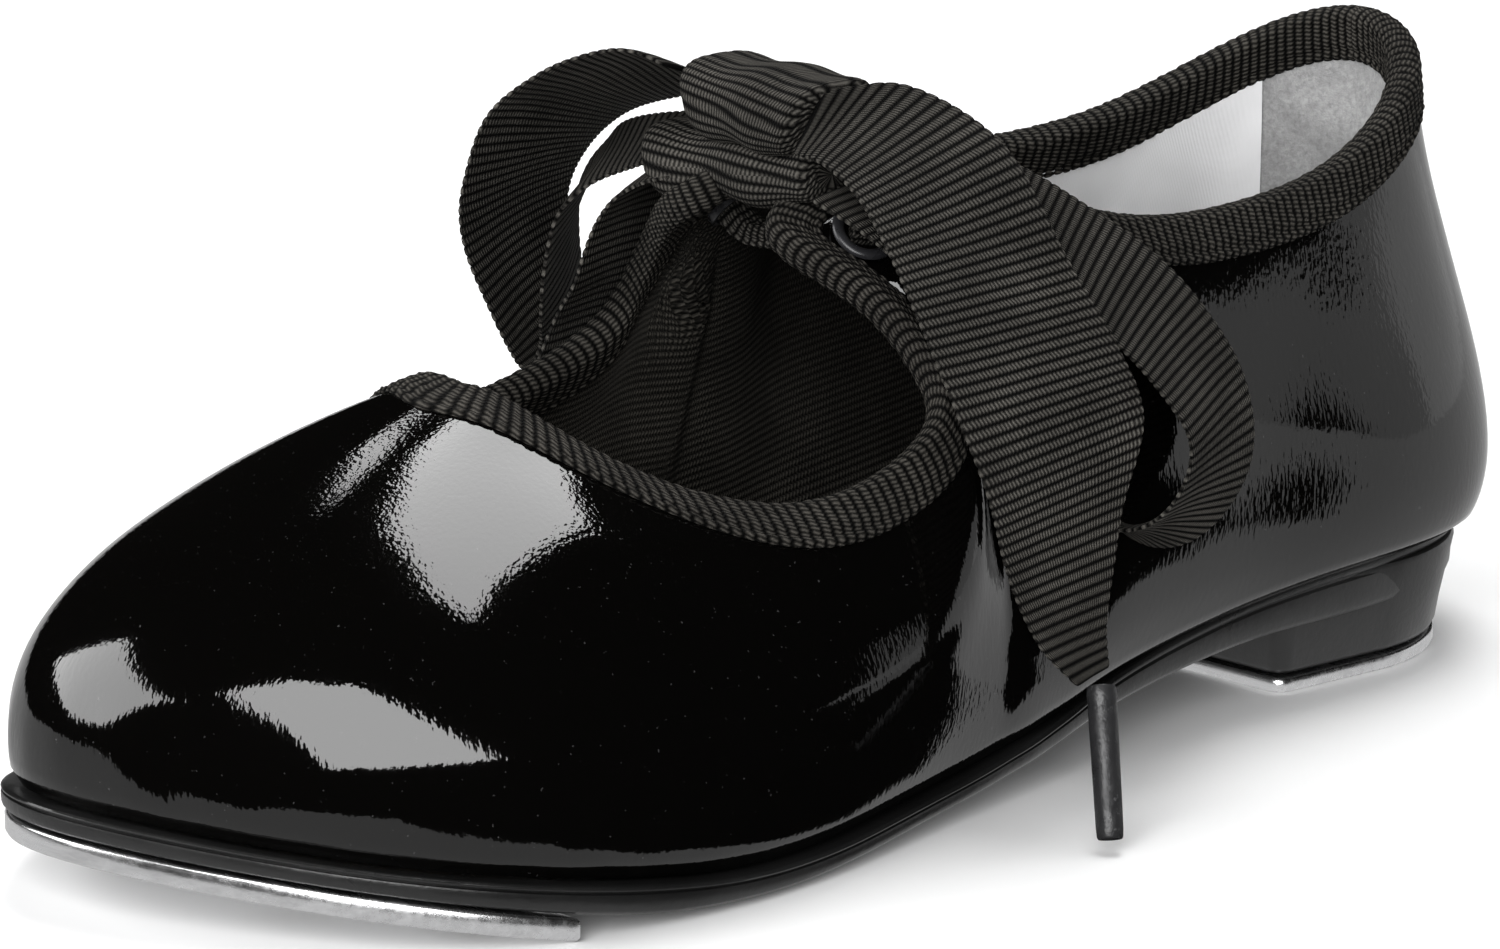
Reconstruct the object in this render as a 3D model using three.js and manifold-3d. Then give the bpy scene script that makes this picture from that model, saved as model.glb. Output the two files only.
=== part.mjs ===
// A child's ribbon-tie tap shoe, left foot, as an assembly of separate pieces.
// Units are millimetres. +X points to the toe, +Y to the outer (lateral) side, +Z up.
// The origin is on the ground, at the centre of the round back of the heel tap.
//
// The upper is one "ring" surface: a wall that rises from the feather line (where the upper
// meets the sole) to the topline (the bound edge of the opening, tabs included). Each layer
// of the upper is that surface, offset inwards and given a thickness.

import * as THREE from "three";
import { ParametricGeometry } from "three/addons/geometries/ParametricGeometry.js";
import { mergeVertices } from "three/addons/utils/BufferGeometryUtils.js";
import Module from "manifold-3d";

const wasm = await Module();
wasm.setup();

// ---------------------------------------------------------------- driving dimensions
const GAP = 0.3; // clearance between neighbouring pieces
const LAYER_GAP = 0.45; // clearance between the layers of the upper

const HEEL_RADIUS = 22.0; // round back of the heel block, at the sole
const HEEL_FOOT_SCALE = 0.925; // the heel block is this much smaller at the ground
const HEEL_BREAST_X = 16; // flat front face of the heel block
const HEEL_HALF_WIDTH = 21.2; // half width of the heel block at its front
const HEEL_TAP_THICKNESS = 1.6;
const HEEL_TOP_Z = 8.5; // the heel block runs up into the sole

const TOE_TAP_X = 119.2; // straight rear edge of the toe tap
const TOE_TAP_THICKNESS = 2.2;
const TOE_SPRING = THREE.MathUtils.degToRad(11); // rise of the sole under the toe

const UPPER_THICKNESS = 1.1; // patent outer
const STIFFENER_THICKNESS = 0.7; // toe puff and heel counter
const LINING_THICKNESS = 0.7;
const LASTING_MARGIN = 7; // outer turned in under the foot
const BINDING_DEPTH = 4.0; // how far the binding tape reaches below the topline
const BINDING_THICKNESS = 0.7;

const INSOLE_THICKNESS = 1.5;
const SOCK_THICKNESS = 2.0;

const BALL_X = 88; // the sole bends across the ball of the foot
const BALL_Z = 1.5;
const BALL_WEDGE = THREE.MathUtils.degToRad(11); // half of the room left for the bend

const EYELET_RADIUS = 3.3;
const EYELET_HOLE_RADIUS = 2.1;
const EYELET_BORE_CLEARANCE = 0.9; // the pierced hole is this much wider than the eyelet's

const RIBBON_THICKNESS = 0.8;
const AGLET_RADIUS = 1.4;
const AGLET_TIP_RADIUS = 1.2;
const AGLET_LENGTH = 14.5;

const STEPS_PER_STATION = [2, 2, 1, 1, 1, 1, 1, 1, 1, 2, 2, 2, 2, 2, 1, 1, 1, 1, 1, 2, 2, 2]; // facets
const WALL_SEGMENTS = 6; // facets up the wall
const WALL_START = 0.03; // the lowest row, as a share of the wall's height
const ROUND_FACETS = 16; // round eyelets, holes and the gathered ribbon
const SCREW_FACETS = 12;
const EVERYWHERE = 300; // longer than the shoe, for shapes that only cut others

// ---------------------------------------------------------------- outline of the shoe
// Stations run from the back of the heel, along the outer side, to the tip of the toe.
// foot: x and half width of the feather line. top: x, y and z of the topline.
// wall: how far the side stands out and up from the feather line, and out, down and forwards
// from the topline; these five lengths are the handles of the curve between them.
const STATIONS = [
  { foot: [-23.8, 0.0], top: [-18.8, 0.0, 62.3], wall: [7.5, 9, 1, 18, 0] },
  { foot: [-20.4, 12.2], top: [-15.8, 8.6, 60.3], wall: [6.8, 9, 1, 17, 0] },
  { foot: [-11.5, 20.8], top: [-8.0, 14.2, 56.0], wall: [6, 9, 2.5, 16, 0] },
  { foot: [4.0, 23.6], top: [5.0, 17.2, 51.6], wall: [5.5, 10, 4, 14, 0] },
  { foot: [18.0, 22.2], top: [20.0, 19.0, 50.2], wall: [5.5, 11, 5, 13, 0] },
  { foot: [29.0, 21.2], top: [33.0, 20.0, 50.8], wall: [6, 12, 6, 13, 0] },
  { foot: [38.0, 21.2], top: [43.5, 19.6, 53.2], wall: [6, 13, 8, 13, -1] },
  { foot: [45.0, 21.7], top: [50.5, 16.5, 56.4], wall: [6, 14, 11, 11, -2] },
  { foot: [50.0, 22.4], top: [56.0, 10.2, 57.8], wall: [6, 15, 14, 6, -3] },
  { foot: [54.0, 23.1], top: [60.5, 5.2, 57.6], wall: [6, 15, 15, 2, -4] },
  { foot: [57.5, 23.8], top: [66.5, 4.2, 56.2], wall: [6, 15, 15, 2, -7] },
  { foot: [60.5, 24.2], top: [70.8, 6.0, 54.2], wall: [6, 15, 14, 4, -12] },
  { foot: [63.0, 24.6], top: [69.8, 11.0, 51.6], wall: [6, 15, 6, 3, -14] },
  { foot: [66.5, 25.2], top: [66.8, 16.6, 47.6], wall: [6, 14, 4.5, 6, -10] },
  { foot: [72.0, 26.2], top: [65.4, 21.8, 41.4], wall: [6, 13, 4.5, 8, -5] },
  { foot: [79.5, 28.0], top: [68.4, 24.4, 36.4], wall: [6, 13, 5.5, 9, -1.5] },
  { foot: [88.5, 30.2], top: [78.0, 25.3, 33.0], wall: [6, 13, 6.5, 9, 0] },
  { foot: [99.0, 31.8], top: [88.0, 24.0, 32.6], wall: [6, 13, 9, 8, 0] },
  { foot: [110.5, 31.8], top: [96.5, 19.4, 35.0], wall: [5.5, 14, 13, 8, 0] },
  { foot: [122.5, 29.6], top: [102.2, 12.6, 38.8], wall: [5.5, 15, 18, 9, 0] },
  { foot: [134.0, 23.6], top: [105.0, 6.2, 42.0], wall: [5, 16, 22, 9, 0] },
  { foot: [143.5, 13.6], top: [105.9, 2.4, 42.9], wall: [4, 17, 24, 9, 0] },
  { foot: [148.6, 0.0], top: [106.2, 0.0, 43.0], wall: [3.5, 17, 25, 9, 0] },
];
const MEDIAL_LIFT = 2.0; // the topline of the inner side is this much higher

// Each of these is a smooth curve through [x, value] pairs.
const CENTRE_LINE = [[-24, 0], [0, 0.3], [20, 1.2], [40, 2], [66, 2.2], [84, 1.6], [100, 0.8],
  [112, 0.2], [121, -0.2], [132, -1.5], [138, -3.2], [144, -5.6], [149, -8]];
const FEATHER_HEIGHT = [[-30, 13], [6, 13], [18, 12], [30, 10.3], [42, 8.4], [52, 6.3],
  [67, 4.4], [79, 3.5], [90, 3], [101, 3.2], [112, 4.5], [120, 5.7], [132, 7.6], [140, 9], [150, 11]];
const SOLE_BOTTOM = [[-30, 7.6], [16, 7.3], [32, 6.2], [44, 5], [54, 3.6], [73, 1.7], [91, 0.6],
  [101, 0.6], [110, 1.1]];

// ---------------------------------------------------------------- curves
function lerp(a, b, t) {
  return a + (b - a) * t;
}

// Cubic Hermite interpolation through [x, value] pairs, flat beyond both ends.
function smoothThrough(pairs, x) {
  const last = pairs.length - 1;
  if (x <= pairs[0][0]) return pairs[0][1];
  if (x >= pairs[last][0]) return pairs[last][1];
  let i = 0;
  while (x > pairs[i + 1][0]) i += 1;
  const slope = (j) => {
    const a = pairs[Math.max(j - 1, 0)];
    const b = pairs[Math.min(j + 1, last)];
    return (b[1] - a[1]) / (b[0] - a[0]);
  };
  const span = pairs[i + 1][0] - pairs[i][0];
  const t = (x - pairs[i][0]) / span;
  const h1 = 2 * t ** 3 - 3 * t ** 2 + 1;
  const h2 = t ** 3 - 2 * t ** 2 + t;
  const h3 = 3 * t ** 2 - 2 * t ** 3;
  const h4 = t ** 3 - t ** 2;
  return h1 * pairs[i][1] + h2 * span * slope(i) + h3 * pairs[i + 1][1] + h4 * span * slope(i + 1);
}

const centreY = (x) => smoothThrough(CENTRE_LINE, x);
const featherZ = (x) => smoothThrough(FEATHER_HEIGHT, x);

// The sole's underside is curved up to the toe tap and flat, at the toe spring, beyond it.
function soleBottomZ(x) {
  if (x < TOE_TAP_X) {
    const reach = [...SOLE_BOTTOM, [TOE_TAP_X, TOE_TAP_THICKNESS + GAP]];
    return smoothThrough(reach, x);
  }
  return TOE_TAP_THICKNESS + GAP + (x - TOE_TAP_X) * Math.tan(TOE_SPRING);
}

// The stations all the way round: outer side from heel to toe, then inner side back.
const lastStation = STATIONS.length - 1;
const ringStations = [];
STATIONS.forEach(({ foot, top, wall }) => {
  ringStations.push({
    foot: new THREE.Vector3(foot[0], centreY(foot[0]) + foot[1], 0),
    top: new THREE.Vector3(...top),
    stand: new THREE.Vector3(wall[0], wall[1], 0),
    lean: new THREE.Vector3(wall[2], wall[3], wall[4]),
  });
});
for (let i = lastStation - 1; i > 0; i -= 1) {
  const { foot, top, wall } = STATIONS[i];
  const lift = MEDIAL_LIFT * Math.sin((Math.PI * i) / lastStation);
  ringStations.push({
    foot: new THREE.Vector3(foot[0], centreY(foot[0]) - foot[1], 0),
    top: new THREE.Vector3(top[0], -top[1], top[2] + lift),
    stand: new THREE.Vector3(wall[0], wall[1], 0),
    lean: new THREE.Vector3(wall[2], wall[3], wall[4]),
  });
}

// Where the facets of every ring-shaped piece begin: places s from 0 to 1 round the shoe.
const halfRing = STEPS_PER_STATION.flatMap((steps, station) => (
  Array.from({ length: steps }, (unused, i) => (station + i / steps) / (2 * lastStation))
));
const ringPlaces = [...halfRing, 0.5, ...halfRing.slice(1).reverse().map((s) => 1 - s)];
const RING_SEGMENTS = ringPlaces.length;

function ringCurve(key) {
  const points = ringStations.map((station) => station[key]);
  return new THREE.CatmullRomCurve3(points, true, "catmullrom", 0.5);
}
const footCurve = ringCurve("foot");
const topCurve = ringCurve("top");
const standCurve = ringCurve("stand");
const leanCurve = ringCurve("lean");

// Everything the wall needs at one place round the ring.
function wallFrame(s) {
  const foot = footCurve.getPoint(s);
  foot.z = featherZ(foot.x);
  const tangent = footCurve.getTangent(s);
  const out = new THREE.Vector3(-tangent.y, tangent.x, 0).normalize();
  return { foot, out, top: topCurve.getPoint(s), stand: standCurve.getPoint(s), lean: leanCurve.getPoint(s) };
}

// A point of the upper's outer face: s goes round the shoe, v up the wall from 0 to 1.
function wallPoint(s, v) {
  const { foot, out, top, stand, lean } = wallFrame(s);
  const low = foot.clone().addScaledVector(out, stand.x);
  low.z += stand.y;
  const high = top.clone().addScaledVector(out, lean.x);
  high.z -= lean.y;
  high.x += lean.z;
  return new THREE.CubicBezierCurve3(foot, low, high, top).getPoint(v);
}

function wallNormal(s, v) {
  const step = 0.002;
  const along = wallPoint(wrap(s + step), v).sub(wallPoint(wrap(s - step), v));
  const up = wallPoint(s, Math.min(v + step, 1)).sub(wallPoint(s, Math.max(v - step, 0)));
  return up.cross(along).normalize();
}

// The height v at which the wall is this far below its top edge.
function vBelowTop(s, distance) {
  const top = wallPoint(s, 1);
  let v = 1;
  while (v > 0.5 && wallPoint(s, v).distanceTo(top) < distance) v -= 0.002;
  return v;
}

function wrap(s) {
  return ((s % 1) + 1) % 1;
}

// The wall moved inwards by a depth (negative is outwards).
function layerPoint(s, v, depth) {
  const ring = wrap(s);
  return wallPoint(ring, v).addScaledVector(wallNormal(ring, v), -depth);
}

// ---------------------------------------------------------------- solids
function toSolid(geometry) {
  const bare = geometry.index ? geometry.toNonIndexed() : geometry.clone();
  bare.deleteAttribute("normal");
  bare.deleteAttribute("uv");
  const merged = mergeVertices(bare, 1e-4);
  const index = merged.index.array;
  const triangles = [];
  for (let i = 0; i < index.length; i += 3) {
    const [a, b, c] = [index[i], index[i + 1], index[i + 2]];
    if (a !== b && b !== c && c !== a) triangles.push(a, b, c);
  }
  return new wasm.Manifold(new wasm.Mesh({
    numProp: 3,
    vertProperties: new Float32Array(merged.attributes.position.array),
    triVerts: new Uint32Array(triangles),
  }));
}

function toGeometry(solid) {
  const { vertProperties, triVerts } = solid.getMesh();
  const geometry = new THREE.BufferGeometry();
  geometry.setAttribute("position", new THREE.BufferAttribute(new Float32Array(vertProperties), 3));
  geometry.setIndex(new THREE.BufferAttribute(new Uint32Array(triVerts), 1));
  geometry.computeVertexNormals();
  return geometry;
}

// A closed skin whose rows are closed loops of points. A looped skin goes round the shoe. A
// skin with ends is closed there by shrinking its first and last row to their middle.
function skin(rowAt, rows, columns, looped) {
  const table = [];
  for (let i = 0; i <= rows; i += 1) {
    const row = rowAt(looped ? ringPlaces[i % rows] : i / rows);
    table.push(row);
  }
  if (!looped) {
    const middle = (row) => {
      const centre = new THREE.Vector3();
      row.forEach((point) => centre.add(point));
      return row.map(() => centre.clone().divideScalar(row.length));
    };
    table.unshift(middle(table[0]));
    table.push(middle(table[table.length - 1]));
  }
  const slices = table.length - 1;
  const geometry = new ParametricGeometry((u, v, target) => {
    const row = table[Math.round(u * slices)];
    target.copy(row[Math.round(v * columns) % columns]);
  }, slices, columns);
  splitByShorterDiagonal(geometry, slices, columns, false);
  const solid = toSolid(geometry);
  if (solid.volume() > 0) return solid;
  splitByShorterDiagonal(geometry, slices, columns, true);
  return toSolid(geometry);
}

// Both faces of a layer, and its neighbours, split their four-sided facets the same way, so
// that curved layers stay parallel.
function splitByShorterDiagonal(geometry, slices, columns, flipped) {
  const position = geometry.attributes.position;
  const point = (i) => new THREE.Vector3().fromBufferAttribute(position, i);
  const index = [];
  for (let i = 0; i < slices; i += 1) {
    for (let j = 0; j < columns; j += 1) {
      const a = j * (slices + 1) + i;
      const [b, c, d] = [a + slices + 1, a + slices + 2, a + 1];
      const acrossAC = point(a).distanceTo(point(c)) < point(b).distanceTo(point(d));
      const facets = acrossAC ? [[a, b, c], [a, c, d]] : [[a, b, d], [b, c, d]];
      facets.forEach((facet) => index.push(...(flipped ? facet.reverse() : facet)));
    }
  }
  geometry.setIndex(index);
}

// The heights of the wall's rows: even steps from the feather line to the foot of the binding,
// and one more to the topline. Every layer uses the same rows, so their facets run parallel.
const RIM_INSET = 0.6; // the raw edge of the layers lies this far below the topline
function wallHeights(s, rimInset = RIM_INSET) {
  const bindingFoot = vBelowTop(wrap(s), BINDING_DEPTH);
  const heights = [];
  for (let j = 0; j <= WALL_SEGMENTS; j += 1) heights.push(lerp(WALL_START, bindingFoot, j / WALL_SEGMENTS));
  return [...heights, vBelowTop(wrap(s), rimInset)];
}

// One layer of the upper, between two depths and two rows, closed into a ring.
function wallLayer(outerDepth, innerDepth, lowRow, highRow, rimInset = RIM_INSET) {
  const rowAt = (s) => {
    const heights = wallHeights(s, rimInset).slice(lowRow, highRow + 1);
    return [
      ...heights.map((v) => layerPoint(s, v, outerDepth)),
      ...heights.reverse().map((v) => layerPoint(s, v, innerDepth)),
    ];
  };
  return skin(rowAt, RING_SEGMENTS, 2 * (highRow - lowRow + 1), true);
}
const TOP_ROW = WALL_SEGMENTS + 1;

// The part of a solid between two places along x or y.
function slab(solid, axis, low, high) {
  const geometry = new THREE.BoxGeometry(2 * EVERYWHERE, 2 * EVERYWHERE, 2 * EVERYWHERE);
  const span = (high - low) / (2 * EVERYWHERE);
  const middle = (low + high) / 2;
  if (axis === "x") {
    geometry.scale(span, 1, 1);
    geometry.translate(middle, 0, 0);
  } else {
    geometry.scale(1, span, 1);
    geometry.translate(0, middle, 0);
  }
  return solid.intersect(toSolid(geometry));
}

// A solid with this outline in plan, between two heights.
function planSolid(points, z0, z1) {
  const geometry = new THREE.ExtrudeGeometry(new THREE.Shape(points), {
    depth: z1 - z0,
    bevelEnabled: false,
    curveSegments: 1,
  });
  geometry.translate(0, 0, z0);
  return toSolid(geometry);
}

// A solid with this outline in side view (x, z), as wide as the shoe.
function sideSolid(points) {
  const geometry = new THREE.ExtrudeGeometry(new THREE.Shape(points), {
    depth: 2 * EVERYWHERE,
    bevelEnabled: false,
  });
  geometry.rotateX(Math.PI / 2);
  geometry.translate(0, EVERYWHERE, 0);
  return toSolid(geometry);
}

const v2 = (x, y) => new THREE.Vector2(x, y);
// Halves of space on either side of the ball line. They lean apart above the hinge axis, so
// that the front half can turn up without meeting the rear half.
const wedgeReach = EVERYWHERE * Math.tan(BALL_WEDGE);
const frontSpace = sideSolid([
  v2(BALL_X + GAP, -EVERYWHERE), v2(EVERYWHERE, -EVERYWHERE), v2(EVERYWHERE, EVERYWHERE),
  v2(BALL_X + GAP + wedgeReach, BALL_Z + EVERYWHERE), v2(BALL_X + GAP, BALL_Z),
]);
const rearSpace = sideSolid([
  v2(BALL_X - GAP, -EVERYWHERE), v2(BALL_X - GAP, BALL_Z),
  v2(BALL_X - GAP - wedgeReach, BALL_Z + EVERYWHERE), v2(-EVERYWHERE, EVERYWHERE),
  v2(-EVERYWHERE, -EVERYWHERE),
]);
const frontOf = (solid) => solid.intersect(frontSpace);
const rearOf = (solid) => solid.intersect(rearSpace);

// ---------------------------------------------------------------- the assembly
const shoe = new THREE.Group();

const FINISH = {
  patent: { color: 0x0b0b0d, roughness: 0.08, metalness: 0 },
  pvc: { color: 0x131314, roughness: 0.4, metalness: 0 },
  aluminium: { color: 0xc9cacb, roughness: 0.32, metalness: 1 },
  steel: { color: 0x9a9b9c, roughness: 0.35, metalness: 1 },
  enamel: { color: 0x17171a, roughness: 0.35, metalness: 0.3 },
  grosgrain: { color: 0x18181a, roughness: 0.85, metalness: 0 },
  blackLining: { color: 0x1d1d20, roughness: 0.9, metalness: 0 },
  whiteLining: { color: 0xdcdcda, roughness: 0.9, metalness: 0 },
  board: { color: 0x8a7355, roughness: 0.9, metalness: 0 },
  plastic: { color: 0x1b1b1d, roughness: 0.45, metalness: 0 },
};

function addPiece(name, solid, finish) {
  const geometry = solid.isBufferGeometry ? solid : toGeometry(solid);
  const mesh = new THREE.Mesh(geometry, new THREE.MeshStandardMaterial(FINISH[finish]));
  mesh.name = name;
  shoe.add(mesh);
  return mesh;
}

// ---------------------------------------------------------------- outsole and heel
// The sole edge stands out from the feather line at the forepart and is drawn in at the heel.
function edgeMargin(x) {
  return lerp(-1.7, 1.2, THREE.MathUtils.smoothstep(x, 10, 70));
}

// The plan of the shoe at a distance outside the feather line.
function planOutline(marginAt) {
  return ringPlaces.map((s) => {
    const { foot, out } = wallFrame(s);
    const reach = marginAt(foot.x);
    return v2(foot.x + out.x * reach, foot.y + out.y * reach);
  });
}

// A plate with this plan, whose top and bottom follow curves along the shoe.
const PLATE_ENDS = [-30, 160];
const PLATE_STEP = 5;
function contouredPlate(outline, bottomZ, topZ) {
  const [rear, front] = PLATE_ENDS;
  const side = [];
  for (let x = rear; x <= front; x += PLATE_STEP) side.push(v2(x, bottomZ(x)));
  for (let x = front; x >= rear; x -= PLATE_STEP) side.push(v2(x, topZ(x)));
  return planSolid(outline, -EVERYWHERE, EVERYWHERE).intersect(sideSolid(side));
}

const HEEL_ARC_FACETS = 18;
function heelOutline(radius, halfWidth, breastX) {
  const points = [v2(breastX, -halfWidth), v2(breastX, halfWidth)];
  for (let i = 0; i <= HEEL_ARC_FACETS; i += 1) {
    const angle = lerp(Math.PI / 2, (3 * Math.PI) / 2, i / HEEL_ARC_FACETS);
    points.push(v2(radius * Math.cos(angle), radius * Math.sin(angle)));
  }
  return points;
}

const HEEL_FOOT_Z = HEEL_TAP_THICKNESS + GAP;
function heelBlock() {
  const geometry = new THREE.ExtrudeGeometry(
    new THREE.Shape(heelOutline(HEEL_RADIUS, HEEL_HALF_WIDTH, HEEL_BREAST_X)),
    { depth: HEEL_TOP_Z - HEEL_FOOT_Z, bevelEnabled: false },
  );
  geometry.translate(0, 0, HEEL_FOOT_Z);
  const position = geometry.attributes.position;
  for (let i = 0; i < position.count; i += 1) {
    if (position.getZ(i) < HEEL_FOOT_Z + 0.01) {
      position.setXY(i, position.getX(i) * HEEL_FOOT_SCALE, position.getY(i) * HEEL_FOOT_SCALE);
    }
  }
  return toSolid(geometry);
}

// A flat-headed screw, head down, at a place and tilt. With clearance and a mouth below the
// head it is the hole that the screw goes into.
const SCREW_HEAD_RADIUS = 1.9;
const SCREW_SHANK_RADIUS = 0.8;
const SCREW_HEAD_HEIGHT = 1.1;
const SCREW_RIM = 0.1; // straight edge of the head before the countersink
const SCREW_LENGTH = 3.7;
const SCREW_POINT = 0.8;
function screw(x, y, z, tilt, clearance = 0, mouth = 0) {
  const headRadius = SCREW_HEAD_RADIUS + clearance;
  const shankRadius = SCREW_SHANK_RADIUS + clearance;
  const length = SCREW_LENGTH + clearance;
  const geometry = new THREE.LatheGeometry([
    v2(0, -mouth), v2(headRadius, -mouth), v2(headRadius, SCREW_RIM), v2(shankRadius, SCREW_HEAD_HEIGHT),
    v2(shankRadius, length), v2(0, length + SCREW_POINT),
  ], SCREW_FACETS);
  geometry.rotateX(Math.PI / 2);
  geometry.rotateY(-tilt);
  geometry.translate(x, y, z);
  return toSolid(geometry);
}

const HEEL_SCREWS = [[-13, 0], [6, 11.5], [6, -11.5]];
const TOE_SCREWS = [[124, 22], [124, -22], [133, 8], [133, -13]];
const SCREW_SINK = 0.25; // the heads sit this far above the tap's lower face
const TAP_MARGIN = 0.9; // the toe tap stands this far outside the feather line
const toeTapZ = (x) => (x - TOE_TAP_X) * Math.tan(TOE_SPRING);

function drilled(solid) {
  let result = solid;
  HEEL_SCREWS.forEach(([x, y]) => {
    result = result.subtract(screw(x, y, SCREW_SINK, 0, GAP, 1));
  });
  TOE_SCREWS.forEach(([x, y]) => {
    result = result.subtract(screw(x, y, toeTapZ(x) + SCREW_SINK, TOE_SPRING, GAP, 1));
  });
  return result;
}

const sole = contouredPlate(planOutline(edgeMargin), soleBottomZ, (x) => featherZ(x) - GAP).add(heelBlock());
const drilledSole = drilled(sole);
addPiece("outsole_forepart", frontOf(drilledSole), "pvc");
addPiece("outsole_shank_and_heel", rearOf(drilledSole), "pvc");

const heelTapSize = [HEEL_RADIUS, HEEL_HALF_WIDTH, HEEL_BREAST_X].map((size) => size * HEEL_FOOT_SCALE);
const heelTap = planSolid(heelOutline(...heelTapSize), 0, HEEL_TAP_THICKNESS);
addPiece("heel_tap", drilled(heelTap), "aluminium");

const tapSlope = Math.tan(TOE_SPRING);
const tapRise = TOE_TAP_THICKNESS / Math.cos(TOE_SPRING);
const toeTapSide = sideSolid([
  v2(TOE_TAP_X, 0), v2(EVERYWHERE, (EVERYWHERE - TOE_TAP_X) * tapSlope),
  v2(EVERYWHERE, (EVERYWHERE - TOE_TAP_X) * tapSlope + tapRise), v2(TOE_TAP_X, tapRise),
]);
const toeTapPlan = planSolid(planOutline(() => TAP_MARGIN), -EVERYWHERE, EVERYWHERE);
const toeTap = toeTapPlan.intersect(toeTapSide);
addPiece("toe_tap", drilled(toeTap), "aluminium");

HEEL_SCREWS.forEach(([x, y], i) => {
  addPiece(`heel_tap_screw_${i + 1}`, screw(x, y, SCREW_SINK, 0), "steel");
});
TOE_SCREWS.forEach(([x, y], i) => {
  addPiece(`toe_tap_screw_${i + 1}`, screw(x, y, toeTapZ(x) + SCREW_SINK, TOE_SPRING), "steel");
});

// ---------------------------------------------------------------- inside the bottom
// From the sole upwards: the outer's lasting margin, the insole board with the steel shank
// under its waist, and the cushion sock the foot stands on.
const marginTop = UPPER_THICKNESS;
const boardBottom = (x) => featherZ(x) + marginTop + GAP;
const boardTop = (x) => boardBottom(x) + INSOLE_THICKNESS;
const sockBottom = (x) => boardTop(x) + GAP;
const sockTop = (x) => sockBottom(x) + SOCK_THICKNESS;
const BOARD_INSET = 2.2;
const SOCK_INSET = BOARD_INSET + 1;
const insole = contouredPlate(planOutline(() => -BOARD_INSET), boardBottom, boardTop);
addPiece("insole_board_forepart", frontOf(insole), "board");
addPiece("insole_board_rear", rearOf(insole), "board");
const sock = contouredPlate(planOutline(() => -SOCK_INSET), sockBottom, sockTop);
addPiece("sock_lining_forepart", frontOf(sock), "blackLining");
addPiece("sock_lining_rear", rearOf(sock), "blackLining");

// The shank lies in the hollow that the lasting margin leaves under the insole board.
const SHANK_THICKNESS = 0.8;
const shankBottom = (x) => featherZ(x) + 0.05; // just clear of the sole
const shankPlan = [v2(-4, -4), v2(56, -5), v2(60, -3), v2(60, 3), v2(56, 5), v2(-4, 4)];
const shank = contouredPlate(shankPlan, shankBottom, (x) => shankBottom(x) + SHANK_THICKNESS);
addPiece("steel_shank", shank, "steel");

// ---------------------------------------------------------------- the upper
// The outer is lasted: its lower edge turns in over the sole under the insole board, round a
// small corner.
const CORNER_OUTSIDE = 0.6;
const CORNER_INSIDE = UPPER_THICKNESS + 0.4;
function lastedOuter() {
  const rowAt = (s) => {
    const heights = wallHeights(s);
    const { foot, out } = wallFrame(wrap(s));
    const turned = foot.clone().addScaledVector(out, -LASTING_MARGIN);
    turned.z = featherZ(turned.x);
    const turnedTop = turned.clone();
    turnedTop.z += UPPER_THICKNESS;
    const corner = foot.clone().addScaledVector(out, -CORNER_OUTSIDE);
    const innerCorner = foot.clone().addScaledVector(out, -CORNER_INSIDE);
    innerCorner.z = featherZ(innerCorner.x) + UPPER_THICKNESS;
    return [
      turned, corner,
      ...heights.map((v) => layerPoint(s, v, 0)),
      ...heights.slice(1).reverse().map((v) => layerPoint(s, v, UPPER_THICKNESS)),
      innerCorner, turnedTop,
    ];
  };
  return skin(rowAt, RING_SEGMENTS, 2 * (TOP_ROW + 1) + 3, true);
}

// The eyelets sit in the tabs, one on each side.
const EYELET_STATION = 10.3;
const EYELET_INSET = BINDING_DEPTH + EYELET_RADIUS + 0.5;
function eyeletPlace(side) {
  const s = wrap((side * EYELET_STATION) / (2 * lastStation));
  const v = vBelowTop(s, EYELET_INSET);
  return { centre: layerPoint(s, v, 0), normal: wallNormal(s, v) };
}
function orient(geometry, { centre, normal }) {
  geometry.rotateX(Math.PI / 2);
  const turn = new THREE.Quaternion().setFromUnitVectors(new THREE.Vector3(0, 0, 1), normal);
  geometry.applyQuaternion(turn);
  geometry.translate(...centre.toArray());
  return geometry;
}
const EYELET_BORE_LENGTH = 16;
function eyeletBore(side) {
  const radius = EYELET_HOLE_RADIUS + EYELET_BORE_CLEARANCE;
  const geometry = new THREE.CylinderGeometry(radius, radius, EYELET_BORE_LENGTH, ROUND_FACETS);
  return toSolid(orient(geometry, eyeletPlace(side)));
}
const pierced = (solid) => solid.subtract(eyeletBore(1)).subtract(eyeletBore(-1));

const outer = pierced(lastedOuter());
addPiece("vamp", frontOf(outer), "patent");
addPiece("quarters", rearOf(outer), "patent");

const stiffenerDepth = UPPER_THICKNESS + GAP;
const STIFFENER_ROWS = [1, 4];
const stiffener = wallLayer(stiffenerDepth, stiffenerDepth + STIFFENER_THICKNESS, ...STIFFENER_ROWS);
const COUNTER_FRONT_X = 16;
const PUFF_REAR_X = 116;
addPiece("heel_counter", slab(stiffener, "x", -EVERYWHERE, COUNTER_FRONT_X), "board");
addPiece("toe_puff", slab(stiffener, "x", PUFF_REAR_X, EVERYWHERE), "board");

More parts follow.
